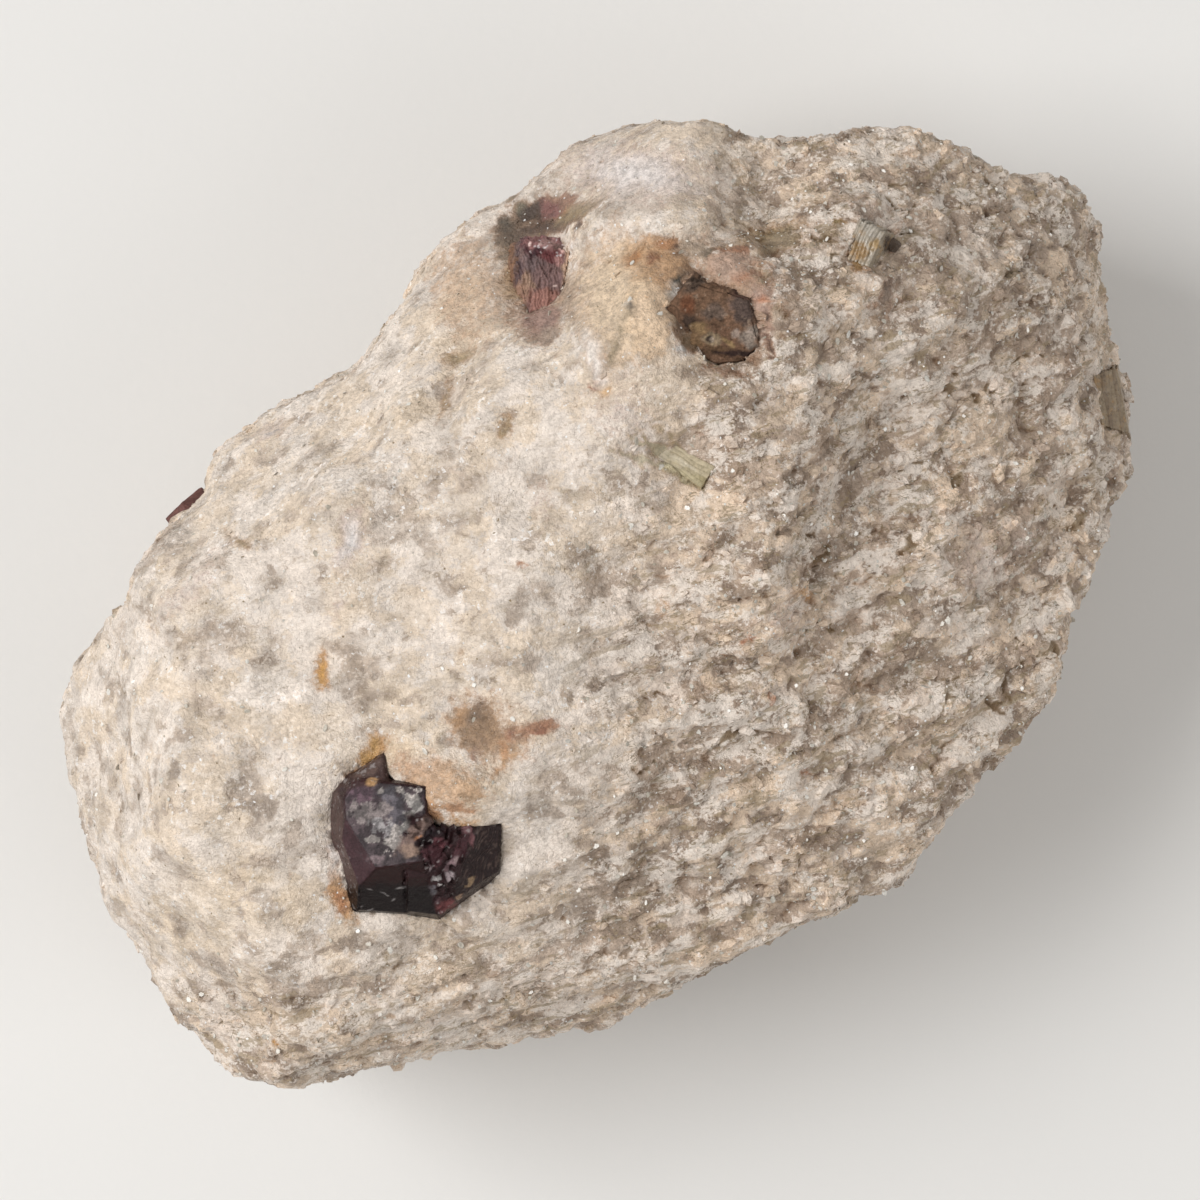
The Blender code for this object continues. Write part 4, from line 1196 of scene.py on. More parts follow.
    def build(self, material: bpy.types.Material, solids: Sequence[bpy.types.Mesh]) -> bpy.types.Object:
        """Makes the rock.

        Args:
            material: The rock's material.
            solids: The crystals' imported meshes.

        Returns:
            The finished piece.
        """
        net = fine_net(self.node, self.step, self.softening)
        points = self.footed(mesh_points(net))
        normals = mesh_normals(net)
        layered = self.layered_at(points, normals)
        relief = self.relief_at(points, layered)
        points, near, wall = self.hug(points, normals, solids)
        under = ramp(-normals[:, 2], 0.2, 0.75)
        ground = 1 - ramp(points[:, 2], 0.3, 2.0)
        height = relief.height * (1 - 0.8 * under) * (1 - ground) * (1 - 0.35 * ramp(near, 0.1, 0.6))
        heaped = 0.34 * ramp(near, 0.35, 0.7) * np.clip(fractal_noise(points, 0.8, 53, 3), 0, 1)
        height = np.where(wall, 0.0, height + heaped * ramp(normals[:, 2], 0.3, 0.7))
        points += normals * height[:, None]
        low, high = (np.array(corner) / MM for corner in CAD_BOX)
        points = np.clip(points, low, high)
        seen = as_seen(points) + 0.45 * vector_noise(points, 1.4, 51)[:, :2]
        marks = {mark: np.zeros(len(points)) for mark in Mark}
        for patch in PATCHES:
            marks[patch.mark] = np.maximum(marks[patch.mark], patch.on(seen))
        upper = ramp(normals[:, 2], -0.2, 0.2)
        for mark, amount in marks.items():
            marks[mark] = amount * upper
        glassy = 0.5 * marks[Mark.QUARTZ] + relief.quartz
        marks[Mark.QUARTZ] = np.clip(self.border + self.crispness * (glassy - self.border), 0, 1)
        set_points(net, points)
        for mark in (Mark.QUARTZ, Mark.WARM):
            set_values(net, mark.value, marks[mark])
        strength, colours = self.stains_at(points, seen, marks)
        set_values(net, "stain", strength * upper)
        set_colours(net, "stain_colour", colours)
        set_values(net, "tone", relief.tone)
        set_values(net, "cream", self.border + 1.7 * (relief.cream - self.border))
        set_values(net, "smoke", relief.smoke)
        set_values(net, "hollow", relief.hollow)
        set_values(net, "vein", relief.vein * upper)
        set_values(net, "layered", layered)
        set_values(net, "near_crystal", near)
        keep = np.clip(1 - 0.75 * ramp(-points[:, 2], -20, -8) - under, 0.25, 1)
        keep[wall] = 0
        made = self.thinned(net, keep)
        return finish_mesh("matrix_rock", made, material)


def dress(piece: bpy.types.Object, slot: str, *nodes: str) -> bpy.types.Object:
    """Fixes a finished piece to the specimen, in the place of the solids named."""
    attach(piece, "root")
    if nodes:
        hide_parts(*nodes)
    piece.data.calc_loop_triangles()
    LOG.info("%s: %d triangles", piece.name, len(piece.data.loop_triangles))
    return piece


def facing(normals: np.ndarray, azimuth: float, tilt: float, spread: float = 9.0) -> np.ndarray:
    """How nearly each point faces the way of a facet.

    Args:
        normals: The way each point faces.
        azimuth: The facet's, in degrees anticlockwise from +X.
        tilt: How far the facet leans from straight up, in degrees.
        spread: How far off, in degrees, a point may face.

    Returns:
        A share for each point.
    """
    turn, lean = math.radians(azimuth), math.radians(tilt)
    way = np.array((math.sin(lean) * math.cos(turn), math.sin(lean) * math.sin(turn), math.cos(lean)))
    return ramp(normals @ way, math.cos(math.radians(spread * 1.6)), math.cos(math.radians(spread * 0.7)))


FILM = (0.190, 0.160, 0.155)
PALE_FILM = (0.390, 0.350, 0.325)
GLINT = (0.42, 0.39, 0.38)
PINK = (0.125, 0.047, 0.054)
TOP_STROKES = (
    Stroke((0.100, 0.062, 0.076), -2.3, 3.5, 1.3, 0.6, -5),
    Stroke((0.115, 0.104, 0.115), -0.4, 3.4, 0.9, 0.6),
    Stroke((0.080, 0.070, 0.079), -0.1, 2.3, 0.9, 1.3),
    Stroke((0.044, 0.028, 0.032), 1.6, 3.9, 0.6, 0.7),
    Stroke((0.042, 0.032, 0.034), -0.5, -0.6, 2.0, 0.6, 0, 0.9),
    Stroke(FILM, -1.94, 2.29, 1.30, 0.85, -15, border=0.15),
    Stroke(FILM, -1.05, 2.60, 0.55, 0.50, border=0.15),
    Stroke((0.26, 0.24, 0.24), -0.93, 1.25, 1.00, 0.55, -20, border=0.15),
    Stroke(PALE_FILM, -0.26, 0.61, 1.00, 0.55, 50, border=0.15),
    Stroke(PALE_FILM, -1.60, 0.42, 0.45, 0.25, border=0.15),
    Stroke(PALE_FILM, 0.87, 3.30, 0.36, 0.52, -30, border=0.15),
    Stroke((0.27, 0.25, 0.235), 1.17, 2.63, 0.62, 0.60, border=0.15),
    Stroke((0.27, 0.25, 0.235), 0.87, 1.57, 1.00, 0.36, 54, border=0.15),
    Stroke(PALE_FILM, 0.24, 3.85, 0.32, 0.20, border=0.15),
    Stroke(PALE_FILM, -1.08, 3.95, 0.16, 0.20, border=0.15),
    Stroke(PALE_FILM, 1.46, 4.00, 0.12, 0.12, border=0.15),
    Stroke((0.16, 0.12, 0.125), -1.5, -0.9, 0.45, 0.30),
)
BAND_STROKES = (
    Stroke((0.20, 0.135, 0.115), 1.08, 0.80, 1.55, 0.40, 50),
    Stroke((0.29, 0.20, 0.155), 0.90, -0.35, 0.65, 0.38),
    Stroke((0.46, 0.22, 0.12), 1.34, 0.55, 0.32, 0.10, 40),
)
BROKEN_STROKES = (
    Stroke((0.013, 0.006, 0.007), 1.9, 0.1, 0.7, 0.9),
    Stroke((0.016, 0.007, 0.009), 2.5, 1.3, 0.9, 0.6),
    Stroke((0.085, 0.034, 0.040), 2.5, -0.6, 0.6, 0.8, 60),
    Stroke(PINK, 2.9, 0.2, 0.45, 0.55, 60),
    Stroke((0.19, 0.10, 0.105), 4.8, 1.1, 0.45, 0.25, -50),
    Stroke((0.17, 0.075, 0.080), 5.1, 0.6, 0.18, 0.50),
    Stroke((0.070, 0.026, 0.031), 4.4, 0.0, 1.0, 0.35, 60),
    # The next six touches are painted glints on the broken face.
    Stroke((0.23, 0.15, 0.16), 3.7, -1.3, 0.60, 0.16, 55),
    Stroke(GLINT, 2.7, -2.1, 0.36, 0.12, 15),
    Stroke((0.37, 0.30, 0.31), 3.6, -2.0, 0.30, 0.30),
    Stroke(GLINT, 3.0, -2.5, 0.20, 0.10),
    Stroke((0.33, 0.26, 0.27), 2.2, -1.45, 0.13, 0.24),
    Stroke((0.33, 0.24, 0.24), 4.0, -0.9, 0.26, 0.10, 60),
    Stroke((0.13, 0.12, 0.13), 2.3, -3.0, 0.42, 0.38),
    Stroke((0.095, 0.080, 0.085), 1.85, -3.7, 0.35, 0.50),
    Stroke((0.090, 0.048, 0.053), 2.4, -4.0, 0.60, 0.40),
    Stroke((0.145, 0.048, 0.048), 3.2, -4.2, 0.80, 0.36, 15),
    Stroke((0.24, 0.16, 0.095), 4.95, -2.55, 0.48, 0.14, 50),
    Stroke((0.22, 0.14, 0.095), 4.2, -3.5, 0.32, 0.11, 45),
)
FRONT_GLINTS = (
    (-1.86, -4.35, 0.24, 0.09, 10), (-1.94, -2.93, 0.24, 0.06, -12), (-0.90, -3.20, 0.22, 0.06, -20),
    (-0.35, -3.75, 0.17, 0.07, 12), (0.20, -2.85, 0.20, 0.06, 4),
)
FIN_STROKES = (
    Stroke((0.105, 0.066, 0.055), -1.9, 5.4, 1.1, 0.45, 35),
    Stroke((0.050, 0.022, 0.022), -2.6, 4.25, 0.9, 0.40, 10),
    Stroke((0.45, 0.27, 0.13), -1.8, 4.45, 0.42, 0.25, 20),
)


@dataclass
class LargeGarnet:
    """The large dark crystal: a flat silvery top with a painted sheen, a near-black front in painted shade, a broken
    red shoulder and a fin.
    """

    node: str = "garnet_large"
    middle: tuple[float, float] = (-14.745, -17.98)
    step: float = 0.085
    body: Colour = (0.030, 0.0120, 0.0130)
    # grey-purple dust on the top facet, with a painted sheen of the soft light
    dust_and_sheen: Colour = (0.066, 0.048, 0.052)
    plum: Colour = (0.052, 0.024, 0.028)
    # front and front_foot are painted shade: the front facet faces away from the light, darkest at its foot.
    front: Colour = (0.021, 0.0065, 0.0060)
    front_foot: Colour = (0.0080, 0.0040, 0.0040)
    rind: Colour = (0.092, 0.058, 0.052)
    far: Colour = (0.022, 0.0115, 0.0110)
    stria: Colour = (0.085, 0.056, 0.046)
    fin: Colour = (0.056, 0.031, 0.027)

    def local(self, points: np.ndarray) -> np.ndarray:
        """Places over the crystal at its own size, from its middle as seen."""
        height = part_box(self.node)[1].z / MM
        scale = (CAMERA_HEIGHT - height) / (CAMERA_HEIGHT - RIM_HEIGHT)
        return (as_seen(points) - np.array(self.middle)) * scale

    def build(self, material: bpy.types.Material) -> bpy.types.Object:
        """Makes the crystal."""
        net = fine_net(self.node, self.step, 2)
        points = mesh_points(net)
        normals = mesh_normals(net)
        spot = self.local(points)
        ragged = spot + 0.16 * vector_noise(points, 0.7, 61, 3)[:, :2]
        x, y = ragged[:, 0], ragged[:, 1]
        top = facing(normals, 115, 8)
        plum = facing(normals, 200, 34, 12)
        front = facing(normals, 276, 42, 12)
        shoulder = ramp(x + 0.35 * (y + 1.0), 1.3, 1.9) * (1 - ramp(y, 1.9, 2.4))
        far = shoulder * ramp(0.942 * (x - 5.37) - 0.336 * (y - 1.62), -0.15, 0.35)
        broken = shoulder * (1 - far)
        fin = ramp(y - 0.18 * x, 4.55, 4.85)
        stripe = self.stripes(points)
        height = self.relief(net, points, broken, far, stripe)
        fray = fractal_noise(points, 0.45, 68, 4, 0.65)
        tint = np.zeros((len(points), 3)) + self.body
        tint = self.blended(tint, self.rind, (1 - ramp(x + 0.22 * y, -3.7, -3.1)) * (1 - top) * 0.9)
        tint = self.blended(tint, self.plum, plum)
        # Painted shade on the front facet, darker still towards its foot.
        tint = self.blended(tint, self.front, front)
        tint = self.blended(tint, self.front_foot, (1 - ramp(y, -3.0, -2.2)) * (1 - shoulder))
        # The top facet takes grey-purple dust with a painted sheen.
        tint = self.blended(tint, self.dust_and_sheen, top)
        crust = fractal_noise(points, 0.55, 611, 4, 0.7)
        over = painted(tint, TOP_STROKES, ragged, 2.4 * fray) * (0.62 + 0.85 * ramp(crust, -0.35, 0.45))[:, None]
        tint = self.blended(tint, over, np.maximum(top, 0.35 * (y > -1.3) * (y < 4.4) * (x < 2.0)))
        glints = [Stroke(GLINT, *place, cover=0.45, border=0.6) for place in FRONT_GLINTS]
        tint = painted(tint, glints, ragged, 1.6 * fray)
        tint = self.blended(tint, self.body, broken)
        tint = self.blended(tint, self.far, far)
        tint = self.blended(tint, self.stria, far * ramp(stripe + 0.5 * fray, 0.65, 1.15) * 0.7)
        over = painted(tint, BROKEN_STROKES, ragged, fray)
        tint = self.blended(tint, over, shoulder)
        tint = painted(tint, BAND_STROKES, ragged, fray)
        tint = self.blended(tint, self.fin, fin)
        over = painted(tint, FIN_STROKES, ragged, fray)
        tint = self.blended(tint, over, ramp(y, 3.9, 4.2))
        grit = grains_at(points / 0.17, 69)
        # Painted glints on the gritty rind and fin, and painted sparks on the broken face.
        glinting_grit = np.maximum(0.8 * fin, 0.5 * (1 - ramp(x + 0.22 * y, -3.7, -3.1)))
        glinting_grit = np.maximum(glinting_grit, ramp(y, 1.3, 1.7) * ramp(x, 2.5, 2.9) * 0.9)
        tint = self.blended(tint, GLINT, 0.5 * glinting_grit * ramp(fractal_noise(points, 0.35, 612, 4, 0.7), 0.55, 0.95))
        spark = broken * (share(grit.key, 7) > 0.965)
        tint = self.blended(tint, GLINT, 0.5 * spark)
        set_points(net, points + normals * height[:, None])
        set_colours(net, "tint", tint)
        light = tint.mean(axis=1)
        set_values(net, "rough", 0.20 + 0.10 * top + 0.45 * ramp(light, 0.06, 0.3) + 0.08 * broken)
        set_values(net, "groove", far * stripe)
        return finish_mesh("garnet_large_crystal", net, material)

    def blended(self, colours: np.ndarray, other: object, amount: np.ndarray) -> np.ndarray:
        """The colours with another laid over them by that amount at each point."""
        cover = np.clip(amount, 0, 1)[:, None]
        return colours * (1 - cover) + np.asarray(other) * cover

    def stripes(self, points: np.ndarray) -> np.ndarray:
        """Fine uneven stripes across the shoulder's far face, from 0 to 1."""
        wander = 1.1 * smooth_noise(points, 1.3, 65) + 0.9 * fractal_noise(points * np.array((1, 0.5, 1)), 0.4, 60, 2)
        across = (points[:, 0] * 0.88 - points[:, 1] * 0.475) / 0.30 + wander
        return np.abs(across - np.round(across)) * 2

    def relief(self, net: object, points: np.ndarray, broken: np.ndarray, far: np.ndarray, stripe: np.ndarray):
        """How far each point stands proud: shards on the broken face, stripes, and worn edges.

        Args:
            net: The crystal's net.
            points: Its points.
            broken: How much each is on the broken face.
            far: How much each is on the striped face.
            stripe: The stripes.

        Returns:
            The heights.
        """
        turned = (points + 0.3 * vector_noise(points, 1.1, 62)) @ np.array(((0.6, -0.8, 0), (0.8, 0.6, 0), (0, 0, 1)))
        shard = grains_at(turned / np.array((1.25, 0.60, 0.8)), 63)
        small = grains_at(points / 0.42, 64)
        height = broken * (0.36 * (share(shard.key, 6) - 0.5) + 0.44 * tilted(shard))
        height += (0.08 * broken + 0.012) * (share(small.key, 6) - 0.5 + 0.8 * tilted(small))
        height += far * 0.03 * (stripe - 0.5)
        chip = grains_at(points / 0.8, 66)
        height -= sharpness(net) * (0.04 + 0.20 * share(chip.key, 6))
        return height + 0.010 * fractal_noise(points, 0.5, 67, 3)


def sharpness(net: bpy.types.Mesh) -> np.ndarray:
    """How sharply the net bends at each point, as the spread of the normals of its edges' ends."""
    normals = mesh_normals(net)
    ends = np.empty(len(net.edges) * 2, np.int32)
    net.edges.foreach_get("vertices", ends)
    ends = ends.reshape(-1, 2)
    turn = 1 - (normals[ends[:, 0]] * normals[ends[:, 1]]).sum(axis=1)
    total = np.zeros(len(normals))
    np.maximum.at(total, ends[:, 0], turn)
    np.maximum.at(total, ends[:, 1], turn)
    return ramp(total, 0.02, 0.12)


UPPER_STROKES = (
    Stroke((0.080, 0.062, 0.070), -6.0, 23.8, 0.35, 1.8, 0),
    Stroke((0.300, 0.240, 0.190), -5.25, 23.0, 0.45, 1.1, 0, 0.85),
    Stroke((0.125, 0.105, 0.115), -4.85, 24.6, 0.95, 0.75),
    Stroke((0.175, 0.132, 0.138), -3.75, 23.6, 0.95, 1.05),
    Stroke((0.260, 0.190, 0.150), -5.7, 22.2, 0.55, 1.0),
    Stroke((0.255, 0.158, 0.142), -4.1, 21.7, 1.35, 1.0),
    Stroke((0.460, 0.380, 0.300), -2.25, 23.6, 0.45, 2.4, 0, 0.95, 0.5),
    Stroke((0.200, 0.135, 0.092), -6.75, 24.6, 0.55, 2.6, 0, 0.95, 0.5),
    Stroke((0.330, 0.255, 0.210), -3.6, 20.3, 1.3, 0.7, 0, 0.85),
    Stroke((0.068, 0.034, 0.044), -5.3, 26.2, 0.5, 1.1, 0),
    Stroke((0.200, 0.120, 0.125), -4.8, 26.2, 0.75, 0.65),
    Stroke((0.230, 0.140, 0.150), -3.9, 26.3, 1.35, 0.75),
    Stroke((0.060, 0.030, 0.040), -4.5, 25.4, 0.50, 0.32),
    Stroke((0.110, 0.036, 0.042), -3.5, 25.2, 0.85, 0.50, 0, 0.9),
    Stroke((0.330, 0.245, 0.255), -3.75, 26.1, 0.55, 0.42),
    Stroke((0.300, 0.200, 0.205), -3.0, 24.9, 0.35, 0.50, 30, 0.8),
    Stroke((0.560, 0.440, 0.440), -2.75, 25.5, 0.14, 0.18),
    # The next two touches are painted glints on the crown.
    Stroke((0.720, 0.640, 0.660), -5.15, 26.0, 0.14, 0.12),
    Stroke((0.600, 0.500, 0.520), -4.40, 26.0, 0.12, 0.14),
    Stroke((0.560, 0.530, 0.530), -3.35, 23.0, 0.16, 0.10),
)


@dataclass
class UpperGarnet:
    """The striated crystal in its pocket near the top: a rosy crown, a grey body and a brown foot."""

    node: str = "garnet_upper"
    step: float = 0.07
    body: Colour = (0.13, 0.10, 0.10)
    rosy: Colour = (1.18, 0.96, 0.86)

    def build(self, material: bpy.types.Material) -> bpy.types.Object:
        """Makes the crystal."""
        net = fine_net(self.node, self.step, 2)
        points = mesh_points(net)
        normals = mesh_normals(net)
        seen = as_seen(points)
        ragged = seen + 0.18 * vector_noise(points, 0.7, 71, 3)[:, :2]
        across = (points[:, 0] * 0.99 + points[:, 1] * 0.10) / 0.24 + 1.2 * fractal_noise(points, 1.1, 72, 3)
        stripe = np.abs(across - np.round(across)) * 2
        crown = fade(np.hypot((seen[:, 0] + 3.8) / 1.9, (seen[:, 1] - 25.9) / 1.3))
        shard = grains_at(points / np.array((0.42, 1.2, 0.8)), 73)
        lump = grains_at(points / 0.7, 74)
        height = (1 - crown) * (0.05 * (stripe - 0.5) + 0.20 * (share(shard.key, 6) - 0.5) + 0.16 * tilted(shard))
        height += crown * (0.24 * (share(lump.key, 6) - 0.5) + 0.30 * tilted(lump))
        height -= sharpness(net) * (0.08 + 0.25 * share(lump.key, 7))
        set_points(net, points + normals * height[:, None])
        fray = fractal_noise(points * np.array((1.0, 0.45, 1.0)), 0.35, 75, 3)
        tint = painted(np.zeros((len(points), 3)) + self.body, UPPER_STROKES, ragged, fray)
        tone = 0.78 + 0.30 * stripe * (1 - crown) + 0.26 * share(shard.key, 8) + 0.16 * fray
        tint = np.clip(tint * tone[:, None] * np.array(self.rosy), 0, 1)
        # Painted glints: pale specks scattered over the crown.
        grit = share(grains_at(points / 0.15, 76).key, 6) > 0.955
        tint = np.where((grit * (0.4 + crown) > 0.5)[:, None], np.array((0.55, 0.47, 0.47)), tint)
        set_colours(net, "tint", tint)
        set_values(net, "rough", 0.30 + 0.2 * share(shard.key, 9))
        set_values(net, "groove", stripe * (1 - crown))
        return finish_mesh("garnet_upper_crystal", net, material)


STAINED_STROKES = (
    Stroke((0.205, 0.120, 0.074), 8.3, 21.6, 2.1, 1.5),
    Stroke((0.100, 0.066, 0.048), 6.9, 23.1, 1.10, 0.45, 32),
    Stroke((0.160, 0.068, 0.036), 6.4, 21.5, 0.50, 0.85),
    Stroke((0.160, 0.112, 0.086), 8.3, 21.0, 0.90, 0.60),
    Stroke((0.118, 0.082, 0.068), 10.3, 21.2, 0.90, 1.00),
    Stroke((0.110, 0.060, 0.046), 10.5, 22.4, 0.80, 0.40),
    Stroke((0.065, 0.042, 0.031), 6.6, 20.3, 0.70, 0.50),
    Stroke((0.300, 0.195, 0.100), 7.2, 19.8, 0.60, 0.48),
    Stroke((0.235, 0.145, 0.078), 6.9, 18.9, 0.60, 0.80),
    Stroke((0.330, 0.245, 0.155), 8.1, 19.0, 0.60, 0.45),
    Stroke((0.060, 0.040, 0.030), 7.95, 19.05, 0.20, 0.18),
    Stroke((0.420, 0.330, 0.250), 8.05, 19.05, 0.12, 0.12),
    Stroke((0.290, 0.232, 0.190), 11.0, 19.3, 0.80, 0.75),
    Stroke((0.430, 0.330, 0.270), 9.9, 19.5, 0.25, 0.28),
    Stroke((0.360, 0.285, 0.240), 10.9, 19.6, 0.22, 0.20),
    Stroke((0.330, 0.220, 0.110), 9.3, 18.9, 0.55, 0.20, -35),
    Stroke((0.155, 0.092, 0.052), 8.6, 18.3, 0.95, 0.35),
    Stroke((0.045, 0.026, 0.022), 9.9, 18.0, 1.60, 0.32, -3),
)


@dataclass
class StainedGarnet:
    """The weathered crystal sunk in its pit, under a rough brown skin of iron."""

    node: str = "garnet_stained"
    step: float = 0.08
    skin: Colour = (0.185, 0.106, 0.066)

    def build(self, material: bpy.types.Material) -> bpy.types.Object:
        """Makes the crystal."""
        net = fine_net(self.node, self.step, 2)
        points = mesh_points(net)
        normals = mesh_normals(net)
        seen = as_seen(points)
        ragged = seen + 0.20 * vector_noise(points, 0.8, 81, 3)[:, :2]
        shard = grains_at((points + 0.2 * vector_noise(points, 0.8, 82)) / 1.3, 83)
        small = grains_at(points / 0.42, 84)
        height = 0.14 * (share(shard.key, 6) - 0.5) + 0.20 * tilted(shard)
        height += 0.07 * (share(small.key, 6) - 0.5) + 0.07 * tilted(small)
        height += 0.06 * fractal_noise(points, 0.6, 85, 3)
        trench = 1 - ramp(seen[:, 1] + 0.12 * (seen[:, 0] - 8.6), 17.4, 18.7)
        height -= (0.45 * trench + 0.25 * sharpness(net) * share(shard.key, 9)) * ramp(normals[:, 2], 0.1, 0.5)
        set_points(net, points + normals * height[:, None])
        fray = fractal_noise(points, 0.40, 86, 4)
        tint = painted(np.zeros((len(points), 3)) + self.skin, STAINED_STROKES, ragged, fray)
        tone = 0.80 + 0.25 * share(shard.key, 7) + 0.20 * share(small.key, 7) + 0.22 * fray
        tint = np.clip(tint * tone[:, None], 0, 1)
        crust = ramp(fractal_noise(points, 0.45, 87, 4, 0.7), 0.85, 1.25)[:, None]
        tint = tint * (1 - 0.6 * crust) + 0.6 * crust * np.array((0.36, 0.26, 0.19))
        set_colours(net, "tint", tint)
        set_values(net, "rough", 0.62 + 0.2 * share(small.key, 8))
        set_values(net, "groove", np.zeros(len(points)))
        return finish_mesh("garnet_stained_crystal", net, material)


@dataclass
class SideGarnet:
    """The dodecahedron in the left side, of which a sliver shows past the rim."""

    node: str = "garnet_side"
    step: float = 0.06
    body: Colour = (0.130, 0.055, 0.046)

    def build(self, material: bpy.types.Material) -> bpy.types.Object:
        """Makes the crystal."""
        net = fine_net(self.node, self.step, 1)
        points = mesh_points(net)
        normals = mesh_normals(net)
        shard = grains_at(points / 0.8, 91)
        worn = sharpness(net) * 0.12 * share(shard.key, 6)
        height = 0.02 * fractal_noise(points, 0.5, 92, 3) - worn
        set_points(net, points + normals * height[:, None])
        tone = 0.8 + 0.4 * share(shard.key, 7)
        set_colours(net, "tint", np.array(self.body) * tone[:, None])
        set_values(net, "rough", np.full(len(points), 0.3))
        set_values(net, "groove", np.zeros(len(points)))
        return finish_mesh("garnet_side_crystal", net, material)


@dataclass
class MicaBook:
    """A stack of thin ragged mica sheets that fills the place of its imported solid."""

    name: str
    node: str
    finish: MicaFinish
    sheets: int
    facing: tuple[float, float, float]
    spread: float
    seed: int
    strokes: tuple[Stroke, ...] = ()
    step: float = 0.055
    seam_depth: float = 0.09

    def build(self) -> bpy.types.Object:
        """Makes the book: the solid's form on a fine net, whose sheets reach unevenly far."""
        net = fine_net(self.node, self.step, 2)
        points = mesh_points(net)
        normals = mesh_normals(net)
        up = np.array(self.facing) / np.linalg.norm(self.facing)
        reach = points @ up
        thickness = (reach.max() - reach.min()) / self.sheets
        level = (reach - reach.min()) / thickness + 0.45 * fractal_noise(points, 1.7, self.seed, 2)
        sheet = np.floor(level)
        part = level - sheet
        key = lattice_hash(np.stack((sheet, np.zeros_like(sheet), np.zeros_like(sheet)), axis=1), self.seed)
        edge = 1 - np.abs(normals @ up)
        seam = edge * (1 - ramp(np.minimum(part, 1 - part), 0.0, 0.2))
        height = edge * self.spread * (share(key, 1) - 0.5) - self.seam_depth * seam
        height += 0.05 * fractal_noise(points, 0.6, self.seed + 1, 3)
        low, high = (np.array(corner) / MM for corner in CAD_BOX)
        set_points(net, np.clip(points + normals * height[:, None], low, high))
        tone = 0.25 + 0.6 * share(key, 2) - 0.5 * seam + 0.15 * fractal_noise(points, 0.5, self.seed + 2, 3)
        set_values(net, "tone", np.clip(tone, 0, 1))
        seen = as_seen(points) + 0.15 * vector_noise(points, 0.6, self.seed + 3)[:, :2]
        cover = np.zeros(len(points))
        colours = np.zeros((len(points), 3)) + self.finish.light
        for stroke in self.strokes:
            amount = stroke.on(seen, fractal_noise(points, 0.5, self.seed + 4, 3))
            colours = colours * (1 - amount[:, None]) + np.array(stroke.colour) * amount[:, None]
            cover = np.maximum(cover, amount)
        set_values(net, "painted", cover)
        set_colours(net, "tint", colours)
        return finish_mesh(self.name, net, self.finish.material())


@dataclass(frozen=True)
class Scatter:
    """Where on the rock small bodies sit: the rock's points, their places and facing, and random shares."""

    chosen: np.ndarray
    places: np.ndarray
    normals: np.ndarray
    chance: np.ndarray


def scatter_on(rock: bpy.types.Object, weight: np.ndarray, count: int, seed: int) -> Scatter:
    """Chooses places on the rock, more of them where the weight is higher.

    Args:
        rock: The finished rock.
        weight: How likely each of its points is.
        count: How many places.
        seed: The random seed.

    Returns:
        The places.
    """
    random = np.random.default_rng(seed)
    points = mesh_points(rock.data)
    chosen = random.choice(len(points), size=count, replace=False, p=weight / weight.sum())
    return Scatter(chosen, points[chosen], mesh_normals(rock.data)[chosen], random.random((count, 8)))


def stored_values(mesh: bpy.types.Mesh, name: str) -> np.ndarray:
    """Reads back the numbers stored at a mesh's points."""
    values = np.empty(len(mesh.vertices), np.float32)
    mesh.attributes[name].data.foreach_get("value", values)
    return values.astype(float)


def stored_colours(mesh: bpy.types.Mesh, name: str) -> np.ndarray:
    """Reads back the colours stored at a mesh's points."""
    values = np.empty(len(mesh.vertices) * 4, np.float32)
    mesh.attributes[name].data.foreach_get("color", values)
    return values.reshape(-1, 4)[:, :3].astype(float)


def joined(name: str, corners: np.ndarray, faces: np.ndarray, tones: np.ndarray) -> bpy.types.Mesh:
    """One mesh of many like bodies.

    Args:
        name: The mesh's name.
        corners: Each body's corners, as bodies by corners by three, in millimetres.
        faces: One body's triangles, as indexes of its corners.
        tones: Each body's tone.

    Returns:
        The mesh, which stores tone at its points.
    """
    bodies, per_body = corners.shape[:2]
    steps = (np.arange(bodies) * per_body)[:, None, None]
    every = (faces[None] + steps).reshape(-1, 3)
    mesh = bpy.data.meshes.new(name)
    mesh.from_pydata((corners.reshape(-1, 3) * MM).tolist(), [], every.tolist())
    mesh.update()
    set_values(mesh, "tone", np.repeat(tones, per_body))
    return mesh


def plate(sides: int, taper: float) -> tuple:
    """A flat plate to copy, one unit wide and thick.

    Args:
        sides: Its number of sides.
        taper: How wide its upper face is, as a share of its lower face.

    Returns:
        Its corners and its triangles.
    """
    body = bmesh.new()
    bmesh.ops.create_cone(body, cap_ends=True, segments=sides, radius1=0.5, radius2=0.5 * taper, depth=1.0)
    bmesh.ops.triangulate(body, faces=body.faces[:])
    corners = np.array([vert.co for vert in body.verts])
    faces = np.array([[vert.index for vert in face.verts] for face in body.faces])
    body.free()
    return corners, faces


def frames_along(normals: np.ndarray, turn: np.ndarray) -> np.ndarray:
    """Upright frames with Z along each normal, and X along the layers' strike turned by a share of a full turn."""
    z = normals / np.linalg.norm(normals, axis=1)[:, None]
    x = LAYER_STRIKE - z * (z @ LAYER_STRIKE)[:, None]
    x /= np.linalg.norm(x, axis=1)[:, None] + 1e-9
    y = np.cross(z, x)
    angle = turn[:, None] * 2 * math.pi
    along = x * np.cos(angle) + y * np.sin(angle)
    return np.stack((along, np.cross(z, along), z), axis=1)


